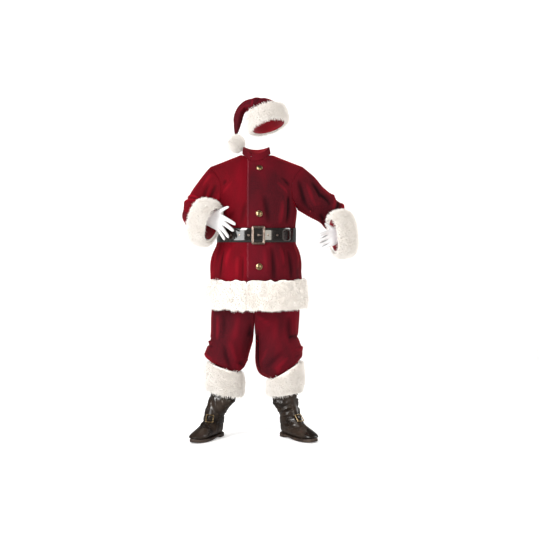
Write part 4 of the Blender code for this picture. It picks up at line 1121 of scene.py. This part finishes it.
def outside_head(base, roll, pitch, across, deep):
    """One outside the hat band's bore, which is rolled sideways and pitched back.

    Near the band's top rim the bore counts as wider, because pile there would pierce the crown.
    """
    angle = math.radians(roll)

    def covered(points):
        offset = (points - np.array(spot(*base))) * 1000.0
        high = offset[:, 2] - pitch * offset[:, 1]
        x = offset[:, 0] * math.cos(angle) + high * math.sin(angle)
        up = high * math.cos(angle) - offset[:, 0] * math.sin(angle)
        clear = np.where(up > CROWN_STARTS, CLEAR_OF_CROWN, CLEAR_BELOW)
        return outside(x / (across + clear), offset[:, 1] / (deep + clear))

    return covered


print("bore rules: upright, slanted and rolled")

# %% Fur bands
HEM_RULE = outside_ellipse((-3, -24), 244, 181)
LEG_RULES = [outside_ellipse((middle, -14), 78.9, 78.9) for middle in (-178, 152)]
CUFF_RULES = [
    outside_slanted((-276, -169, 1164), (0.87, -0.42, -0.27), 92, 76),
    outside_slanted((455, -120, 1101), (-0.96, -0.24, -0.13), 94, 84),
]
HAT_RULE = outside_head((64, 15, 1676), 15.0, -0.25, 92, 105)
BANDS = (
    # band, blades on a square metre, droop, wander, seed, where it grows, lumps, ripple
    ("jacket_hem_fur", 41000.0, 0.6, 1.0, 1, HEM_RULE, 0.0055, 0.013),
    ("trouser_fur_right", 80000.0, 0.25, 1.15, 2, LEG_RULES[0], 0.005, 0.009),
    ("trouser_fur_left", 80000.0, 0.25, 1.15, 3, LEG_RULES[1], 0.005, 0.009),
    ("cuff_fur_right", 95000.0, 0.45, 1.0, 4, CUFF_RULES[0], 0.004, 0.0),
    ("cuff_fur_left", 95000.0, 0.45, 1.0, 5, CUFF_RULES[1], 0.004, 0.0),
    ("hat_fur", 92000.0, 0.45, 0.9, 6, HAT_RULE, 0.004, 0.0),
    ("hat_pompom", 150000.0, 0.2, 0.9, 7, everywhere, 0.002, 0.0),
)
piles = {row[0]: band(*row) for row in BANDS}


# %% [markdown]
# ## Belt
# The strap is one band of patent vinyl that goes once round the waist and laps over its own start.
# Its path is an oval with a step outward where the tail climbs over the start. A cross-section with
# rounded edges is led along that path, because the light on those edges is what makes vinyl look
# thick.

# %% Strap
WAIST_X, WAIST_HALF, WAIST_FRONT, WAIST_BACK = -3.0, 210.0, 190.0, 135.0
BELT_MIDDLE, BELT_HALF, BELT_THICK = 1095.5, 37.5, 2.6
OFF_CLOTH, LAP_GAP = 1.4, 0.5
CLIMB_STARTS, CLIMB_TURNS = 332.0, 18.0
STRAP_START, STRAP_END, STRAP_STEPS = 5.2, 424.2, 300
TURN_LONG, POINT_LONG, POINT_BLUNT = 3.6, 24.0, 0.35
STRAP_SECTION = (
    # share of the half-width, share of the thickness
    (-0.97, -1.0), (0.0, -1.0), (0.97, -1.0), (1.0, -0.7), (1.0, -0.3), (0.97, 0.0),
    (0.5, 0.12), (0.0, 0.15), (-0.5, 0.12), (-0.97, 0.0), (-1.0, -0.3), (-1.0, -0.7),
)
UPWARD = Vector((0.0, 0.0, 1.0))


def round_waist(turn, height, out):
    """A point of the waist's oval, so many millimetres outside the jacket."""
    angle = math.radians(turn)
    deep = WAIST_FRONT if math.cos(angle) > 0.0 else WAIST_BACK
    straight = Vector((math.sin(angle) / WAIST_HALF, -math.cos(angle) / deep, 0.0)).normalized()
    oval = Vector((WAIST_HALF * math.sin(angle) + WAIST_X, -deep * math.cos(angle), height))
    return spot(*(oval + straight * out)), straight


def strap_face(turn, height, out):
    """A point of the strap's outer face: it climbs by one thickness where the tail laps."""
    climb = min(max((turn - CLIMB_STARTS) / CLIMB_TURNS, 0.0), 1.0)
    climb = climb * climb * (3.0 - 2.0 * climb)
    return round_waist(turn, height, OFF_CLOTH + (BELT_THICK + LAP_GAP) * climb + BELT_THICK + out)


def tube_faces(rows, around, closed=False):
    """Quads between the rows of a tube; a closed one joins its last row to its first."""
    faces = []
    for row in range(rows if closed else rows - 1):
        here, there = row * around, (row + 1) % rows * around
        for column in range(around):
            after = (column + 1) % around
            faces.append((here + column, here + after, there + after, there + column))
    return faces


def end_faces(rows, around):
    """The two faces that close a tube's ends."""
    return [tuple(range(around))[::-1], tuple(range((rows - 1) * around, rows * around))]


def strap_mesh():
    """A section with round edges led along the lapped path, its tail cut to a blunt point."""
    points = []
    for turn in np.linspace(STRAP_START, STRAP_END, STRAP_STEPS):
        left = (STRAP_END - turn) * TURN_LONG
        rounded = math.sqrt(max(0.0, min(left / POINT_LONG, 1.0)))
        narrow = BELT_HALF * (POINT_BLUNT + (1.0 - POINT_BLUNT) * rounded)
        for across, out in STRAP_SECTION:
            points.append(strap_face(turn, BELT_MIDDLE + across * narrow, BELT_THICK * out)[0])
    around = len(STRAP_SECTION)
    faces = tube_faces(STRAP_STEPS, around) + end_faces(STRAP_STEPS, around)
    return mesh_from("belt_band", points, faces)


def new_piece(mesh, finish_of, slot, replaced, sharp_over=35.0):
    """A finished piece of the suit made from a closed mesh, its faces turned outward."""
    made = linked(mesh.name, mesh)
    shape = bmesh.new()
    shape.from_mesh(mesh)
    bmesh.ops.recalc_face_normals(shape, faces=shape.faces)
    shape.to_mesh(mesh)
    shape.free()
    smooth(mesh)
    mesh.set_sharp_from_angle(angle=math.radians(sharp_over))
    return cover(made, slot, [finish_of], replaced)


new_piece(strap_mesh(), patent, "patent_vinyl", "belt_strap")

# %% [markdown]
# ## Round fittings
# A button is a turned shape. `seat_of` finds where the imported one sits: its axis is the direction
# in which it is thinnest. The button is then turned afresh with a rim, a ring of petals and a small
# boss in the middle, pressed in relief as old uniform buttons are. The eyelets are right as they
# are packed, so they are only rounded.

# %% Fitting frames


def seat_of(node):
    """Base, right, up and outward directions of a flat round fitting, with its radius."""
    points = np.array([vertex.co[:] for vertex in solids[node].data.vertices])
    middle = (points.max(axis=0) + points.min(axis=0)) / 2.0
    outward = np.linalg.svd(points - points.mean(axis=0))[2][2]
    if outward[1] > 0.0:
        outward = -outward
    low = ((points - middle) @ outward).min()
    out = Vector(outward)
    right = UPWARD.cross(out).normalized()
    flat = (points - middle) - ((points - middle) @ outward)[:, None] * outward
    radius = np.linalg.norm(flat, axis=1).max()
    return Vector(middle) + out * low, right, out.cross(right), out, radius


print("button seat radius:", round(seat_of("button_1")[4] * 1000.0, 1), "mm")

# %% Buttons and eyelets
BUTTON_STEPS, PETALS = 48, 8
BUTTON_PROFILE = (
    # share of the radius, height
    (0.94, 0.0), (0.99, 0.7), (1.0, 1.4), (0.99, 2.4), (0.96, 3.0), (0.92, 3.1), (0.89, 2.7),
    (0.86, 2.8), (0.8, 3.7), (0.74, 4.5), (0.66, 5.3), (0.58, 5.9), (0.5, 6.4), (0.42, 6.8),
    (0.34, 7.1), (0.26, 7.35), (0.18, 7.5), (0.1, 7.6), (0.03, 7.6),
)


def bump_at(share, middle, wide):
    """A soft ring of height one round the button."""
    return math.exp(-(((share - middle) / wide) ** 2))


def relief(share, angle):
    """Raised petals between the rim and the boss, the boss itself and a groove round it."""
    petal = bump_at(share, 0.58, 0.15) * (0.35 + 0.5 * math.cos(PETALS * angle))
    return petal + 0.5 * bump_at(share, 0.14, 0.09) - 0.35 * bump_at(share, 0.32, 0.05)


def button_mesh(number):
    """A dome turned on a packed button's seat."""
    base, right, up, out, radius = seat_of(f"button_{number}")
    points = []
    for share, high in BUTTON_PROFILE:
        for step in range(BUTTON_STEPS):
            angle = 2.0 * math.pi * step / BUTTON_STEPS
            sideways = right * math.cos(angle) + up * math.sin(angle)
            height = out * (high + relief(share, angle)) / 1000.0
            points.append(base + sideways * radius * share + height)
    rows = len(BUTTON_PROFILE)
    faces = tube_faces(rows, BUTTON_STEPS) + end_faces(rows, BUTTON_STEPS)
    return mesh_from(f"dome_button_{number}", points, faces)


for number in range(1, 4):
    new_piece(button_mesh(number), brass, "brass", f"button_{number}", 70.0)
for number in range(1, 7):
    refined(f"belt_eyelet_{number}", f"ring_belt_eyelet_{number}", bronze, "bronze", 1, 60.0)

# %% [markdown]
# ## Buckles
# The belt buckle is a rectangle with round corners, cast from a half-round bar. It is led round its
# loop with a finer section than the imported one. The prong comes out of an eyelet and rests on the
# frame.

# %% Belt buckle
BUCKLE_X, BUCKLE_WIDE, BUCKLE_TALL, BUCKLE_BAR, BUCKLE_THICK = 9.0, 71.0, 97.0, 12.5, 5.0
BUCKLE_OFF_STRAP = 0.6
BAR_SECTION = (
    # share of the way from the outer edge to the inner one, share of the thickness
    (0.0, 0.0), (0.0, 0.4), (0.03, 0.62), (0.1, 0.82), (0.2, 0.93), (0.27, 0.95), (0.31, 0.84),
    (0.35, 0.96), (0.5, 1.0), (0.65, 0.96), (0.69, 0.84), (0.73, 0.95), (0.8, 0.93), (0.9, 0.82),
    (0.97, 0.62), (1.0, 0.4), (1.0, 0.0),
)


def round_loop(wide, tall, corner, steps=10):
    """A rectangle with round corners, anticlockwise, with points along its sides too."""
    points = []
    for x, y, start in ((1, 1, 0), (-1, 1, 90), (-1, -1, 180), (1, -1, 270)):
        for step in range(steps + 1):
            angle = math.radians(start + 90.0 * step / steps)
            points.append((
                x * (wide / 2.0 - corner) + corner * math.cos(angle),
                y * (tall / 2.0 - corner) + corner * math.sin(angle),
            ))
    return points


def frame_mesh(base, right, out):
    """A bar of half-round section with two incised lines, led round the loop."""
    both_bars = 2.0 * BUCKLE_BAR
    outer = round_loop(BUCKLE_WIDE, BUCKLE_TALL, BUCKLE_BAR * 0.8)
    inner = round_loop(BUCKLE_WIDE - both_bars, BUCKLE_TALL - both_bars, BUCKLE_BAR * 0.25)
    points = []
    for one, other in zip(outer, inner):
        for share, high in BAR_SECTION:
            x = one[0] + (other[0] - one[0]) * share
            y = one[1] + (other[1] - one[1]) * share
            points.append(base + (right * x + UPWARD * y + out * (BUCKLE_THICK * high)) / 1000.0)
    return mesh_from("buckle_frame", points, tube_faces(len(outer), len(BAR_SECTION), closed=True))


buckle_turn = 360.0 + math.degrees(math.asin((BUCKLE_X - WAIST_X) / WAIST_HALF))
face_point, straight = strap_face(buckle_turn, BELT_MIDDLE, BUCKLE_OFF_STRAP)
buckle = frame_mesh(face_point, UPWARD.cross(straight).normalized(), straight)
new_piece(buckle, bronze, "bronze", "belt_buckle", 80.0)
refined("belt_prong", "buckle_prong", bronze, "bronze")

# %% [markdown]
# ## Gloves and boots
# The gloves are plain white knit. The boots are soft vinyl that has creased at the ankle and across
# the instep, which is charted along a limb that runs down the shaft and then forward through the
# foot.

# %% Gloves
PLUMPEST, SHARE_OF_ROOM = 0.0024, 0.12
OFF_FACE, LOOK_AHEAD = 0.0003, 0.06


def plump(made):
    """Pushes a piece out along its normals, by no more than a share of the free room there."""
    points = read(made, "co")
    normals = read(made, "normal")
    tree = search_tree(made.data)
    push = np.full(len(points), PLUMPEST)
    for index, (point, normal) in enumerate(zip(points, normals)):
        room = tree.ray_cast(Vector(point + normal * OFF_FACE), Vector(normal), LOOK_AHEAD)[3]
        if room is not None:
            push[index] = min(PLUMPEST, SHARE_OF_ROOM * room)
    move_points(made, points + normals * push[:, None])


gloves = {}
for side in ("right", "left"):
    gloves[side] = refined(f"glove_{side}", f"{side}_glove", knit, "white_knit", 2, 70.0)
    plump(gloves[side])

# %% Boot creases
RIGHT_BOOT = (
    (-186, -8, 330), (-186, -8, 214), (-194, -8, 188), (-211, -8, 165), (-232, -8, 128),
    (-233, -10, 92), (-250, -45, 66), (-282, -110, 48), (-334, -200, 30),
)
LEFT_BOOT = (
    (148, -8, 330), (148, -8, 214), (153, -8, 188), (165, -8, 165), (179, -8, 128),
    (180, -10, 92), (203, -44, 66), (246, -104, 48), (306, -184, 30),
)
RIGHT_BOOT_CREASES = (
    # run, turn, run, turn, width, out
    (86, -20, 150, 66, 6, -7),
    (98, -52, 186, 40, 6, 8),
    (118, -66, 200, 20, 6, -8),
    (140, -84, 208, -14, 7, 5),
    (70, -70, 112, -10, 7, -6),
    (112, 34, 116, 118, 8, 7),
    (146, 30, 150, 128, 6, -12),
    (170, 36, 172, 128, 8, 8),
    (192, 24, 196, 124, 6, -8),
    (164, -120, 176, -60, 8, -6),
    (60, 140, 90, 220, 8, 6),
    (100, 150, 118, 230, 8, -8),
    (136, 140, 148, 224, 9, 7),
    (168, 150, 178, 226, 7, -8),
    (192, 140, 198, 214, 8, 5),
    (258, 40, 300, 96, 8, -5),
    (276, 30, 320, 90, 8, 4),
    (330, -60, 336, 40, 7, -4),
    (352, -50, 360, 50, 9, 3),
    (378, -60, 382, 30, 7, -4),
    (300, -90, 350, -60, 9, 4),
)
LEFT_BOOT_CREASES = (
    # run, turn, run, turn, width, out
    (96, 58, 90, 124, 8, 7),
    (122, 54, 124, 126, 7, -9),
    (104, 16, 150, -6, 8, 6),
    (112, -20, 146, -60, 8, -6),
    (134, -112, 130, -20, 10, 7),
    (152, -84, 150, 14, 6, -7),
    (166, -118, 162, 4, 8, 9),
    (185, -120, 180, 24, 6, -12),
    (200, -90, 204, -20, 8, 5),
    (150, 50, 176, 116, 8, 6),
    (178, 40, 200, 110, 7, -7),
    (60, 140, 90, 220, 8, 6),
    (100, 150, 118, 230, 8, -8),
    (136, 140, 148, 224, 9, 7),
    (168, 150, 178, 226, 7, -8),
    (238, -96, 306, -30, 7, -6),
    (256, -96, 330, -26, 8, 6),
    (300, -70, 372, -20, 8, -5),
    (330, -70, 392, -10, 9, 4),
    (340, 60, 352, 0, 7, -4),
)
print(len(RIGHT_BOOT_CREASES), "and", len(LEFT_BOOT_CREASES), "creases on the boots")

# %% Boots
UP_AND_AHEAD = (0.0, -0.707, 0.707)
for side, limb, creases, seed in (
    ("right", RIGHT_BOOT, RIGHT_BOOT_CREASES, 21.0),
    ("left", LEFT_BOOT, LEFT_BOOT_CREASES, 25.0),
):
    upper = rounded_copy(f"boot_upper_{side}", f"{side}_boot", 3, 60.0)
    held = (f"boot_strap_{side}", f"boot_buckle_{side}", f"boot_sole_{side}")
    creased(upper, limb, creases, 0.0016, 22.0, seed, held, 12.0, UP_AND_AHEAD)
    cover(upper, "boot_vinyl", [boot_skin], f"boot_upper_{side}")
    refined(f"boot_strap_{side}", f"{side}_boot_strap", boot_skin, "boot_vinyl", 2, 60.0)
    refined(f"boot_buckle_{side}", f"{side}_boot_buckle", brass, "brass")
    refined(f"boot_sole_{side}", f"{side}_boot_sole", sole_rubber, "rubber", 2, 50.0)

# %% [markdown]
# ## Stitches
# A row of stitches follows a path, so Geometry Nodes make it: the path is a chain of edges, which
# becomes a curve, is cut into equal steps, and carries one small thread bead on each. The beads are
# turned along the path. The belt's rows run where the strap was led. The points of every other
# path are found by looking at the finished cloth from the front and noting where the line of sight
# meets it.

# %% Stitch tree
BEAD_SEGMENTS, BEAD_RINGS = 6, 4


def stitch_tree():
    """A bead of thread at equal steps along a chain of edges."""
    inputs = {
        "Geometry": "Geometry", "Spacing": 0.0045, "Long": 0.0032, "Thick": 0.001,
        "Finish": "Material",
    }
    tree, given, leave = tree_with("Geometry", "stitch_row", inputs, ("Geometry",))
    path = node_in(tree, "GeometryNodeMeshToCurve", {"Mesh": given["Geometry"]}).outputs["Curve"]
    inputs = {"Curve": path, "Length": given["Spacing"]}
    steps = node_in(tree, "GeometryNodeResampleCurve", inputs, mode="LENGTH")
    sizes = {"Segments": BEAD_SEGMENTS, "Rings": BEAD_RINGS, "Radius": 0.5}
    bead = node_in(tree, "GeometryNodeMeshUVSphere", sizes)
    along = node_in(tree, "GeometryNodeInputTangent", {}).outputs["Tangent"]
    turn = node_in(tree, "FunctionNodeAlignRotationToVector", {"Vector": along}, axis="Z")
    thick = given["Thick"]
    size = node_in(tree, "ShaderNodeCombineXYZ", {"X": thick, "Y": thick, "Z": given["Long"]})
    copies = {
        "Points": steps.outputs["Curve"],
        "Instance": bead.outputs["Mesh"],
        "Rotation": turn.outputs["Rotation"],
        "Scale": size.outputs["Vector"],
    }
    return painted_copies(tree, copies, given["Finish"], leave)


STITCH = stitch_tree()
print(STITCH.name, "has", len(STITCH.nodes), "nodes")

# %% Rows of stitches
LOOK_FROM = -900.0


def stitched(name, paths, finish_of, slot, spacing, long, thick):
    """Rows of stitches along lists of points, as one piece."""
    points = [point for path in paths for point in path]
    edges = []
    start = 0
    for path in paths:
        edges += [(start + step, start + step + 1) for step in range(len(path) - 1)]
        start += len(path)
    made = linked(name, mesh_from(name, points, [], edges))
    run_tree(made, STITCH, {"Spacing": spacing, "Long": long, "Thick": thick, "Finish": finish_of})
    return cover(made, slot, ())


def seen_on(made, spots, lift=0.0004):
    """Where lines of sight from the front through these spots meet a piece, lifted off its face."""
    tree = search_tree(made.data)
    found = []
    for x, z in spots:
        point, normal, _, _ = tree.ray_cast(spot(x, LOOK_FROM, z), Vector((0.0, 1.0, 0.0)))
        if point is not None:
            found.append(point + normal * lift)
    return found


print("helpers: stitched, seen_on")

# %% Closing edge and belt
PLACKET_EDGE = -54.0
PLACKET_INSETS = (5.0, 10.0)
PLACKET_STRETCHES = ((1010, 1052), (880, 1008), (1140, 1500))
BELT_ROWS, BELT_ROW_LIFT = (-33.0, 33.0), 0.25

overlap = jacket_cloth["jacket_front_left"]
edge_rows = [
    seen_on(overlap, [(PLACKET_EDGE + inset, height) for height in np.linspace(low, high, 40)])
    for inset in PLACKET_INSETS
    for low, high in PLACKET_STRETCHES
]
edge_rows = [row for row in edge_rows if len(row) > 1]
stitched("placket_stitches", edge_rows, red_thread, "velvet", 0.0045, 0.0032, 0.0013)
belt_turns = np.linspace(6.0, 420.0, 240)
belt_rows = [
    [strap_face(turn, BELT_MIDDLE + above, BELT_ROW_LIFT)[0] for turn in belt_turns]
    for above in BELT_ROWS
]
stitched("belt_stitches", belt_rows, dark_thread, "patent_vinyl", 0.005, 0.0036, 0.001)

# %% Points on the gloves
LINES_APART = 20.0
DRAWN_TOGETHER = 0.35


def glove_lines(made, wrist, knuckles, across):
    """Three lines on the back of a glove, from between the knuckles toward the wrist."""
    wrist, knuckles, across = np.array(wrist), np.array(knuckles), np.array(across)
    lines = []
    for offset in (-LINES_APART, 0.0, LINES_APART):
        places = [
            knuckles + (wrist - knuckles) * share + across * offset * (1.0 - DRAWN_TOGETHER * share)
            for share in np.linspace(0.05, 0.85, 12)
        ]
        lines.append(seen_on(made, places, 0.0005))
    return [line for line in lines if len(line) > 1]


for side, wrist, knuckles, across in (
    ("right", (-250, 1183), (-190, 1161), (0.36, 0.93)),
    ("left", (435, 1094), (387, 1080), (-0.28, 0.96)),
):
    lines = glove_lines(gloves[side], wrist, knuckles, across)
    stitched(f"{side}_glove_points", lines, white_thread, "white_knit", 0.004, 0.0034, 0.0016)

# %% [markdown]
# ## What was cut
# Each panel is a sheet that was cut flat and sewn, so its flat width and length are stated, with
# its true area where the cut isn't a rectangle. A curved cut wastes the corners of the cloth: a
# sleeve half or a hat cone fills only part of the rectangle around it.

BACK, WAISTBAND = "jacket_back_cloth", "trouser_waistband_cloth"
SHEETS = (
    # piece, width, length, area, how it is held, what it hangs from, what is sewn to it
    (BACK, 0.62, 0.86, 0.475, "hung", "jacket_collar_cloth", "jacket_hem_fur_pile"),
    ("jacket_front_left_cloth", 0.42, 0.85, 0.305, "hung", BACK, "placket_stitches"),
    ("jacket_front_right_cloth", 0.36, 0.85, 0.255, "hung", BACK, ""),
    ("sleeve_front_right_cloth", 0.24, 0.42, 0.084, "hung", "jacket_front_right_cloth", ""),
    ("sleeve_back_right_cloth", 0.3, 0.45, 0.114, "hung", BACK, "cuff_fur_right_pile"),
    ("sleeve_front_left_cloth", 0.26, 0.52, 0.116, "hung", "jacket_front_left_cloth", ""),
    ("sleeve_back_left_cloth", 0.32, 0.54, 0.142, "hung", BACK, "cuff_fur_left_pile"),
    ("jacket_collar_cloth", 0.42, 0.045, None, "hung", BACK, ""),
    ("trouser_front_right_cloth", 0.36, 0.82, 0.226, "gathered", WAISTBAND, ""),
    (
        "trouser_back_right_cloth", 0.36, 0.84, 0.224, "gathered", WAISTBAND,
        "trouser_fur_right_pile",
    ),
    ("trouser_front_left_cloth", 0.36, 0.84, 0.244, "gathered", WAISTBAND, ""),
    ("trouser_back_left_cloth", 0.36, 0.86, 0.24, "gathered", WAISTBAND, "trouser_fur_left_pile"),
    (WAISTBAND, 1.07, 0.038, None, "hung", "", ""),
    ("hat_crown_cloth", 0.62, 0.44, 0.135, "folded", "hat_fur_pile", ""),
    ("right_glove", 0.2, 0.23, 0.034, "stretched", "", "right_glove_points"),
    ("left_glove", 0.2, 0.23, 0.034, "stretched", "", "left_glove_points"),
)
cloth_area = sum(area or width * length for _, width, length, area, *_ in SHEETS)
print(len(SHEETS), "sheets,", round(cloth_area, 2), "m2 of cloth")

# %% Count the triangles
added = [made for made in scene.objects if made.type == "MESH" and made.name not in solids]
counts = [faces_of(made) for made in added]
print("triangles in all:", sum(counts))
print("most in one piece:", max(counts))
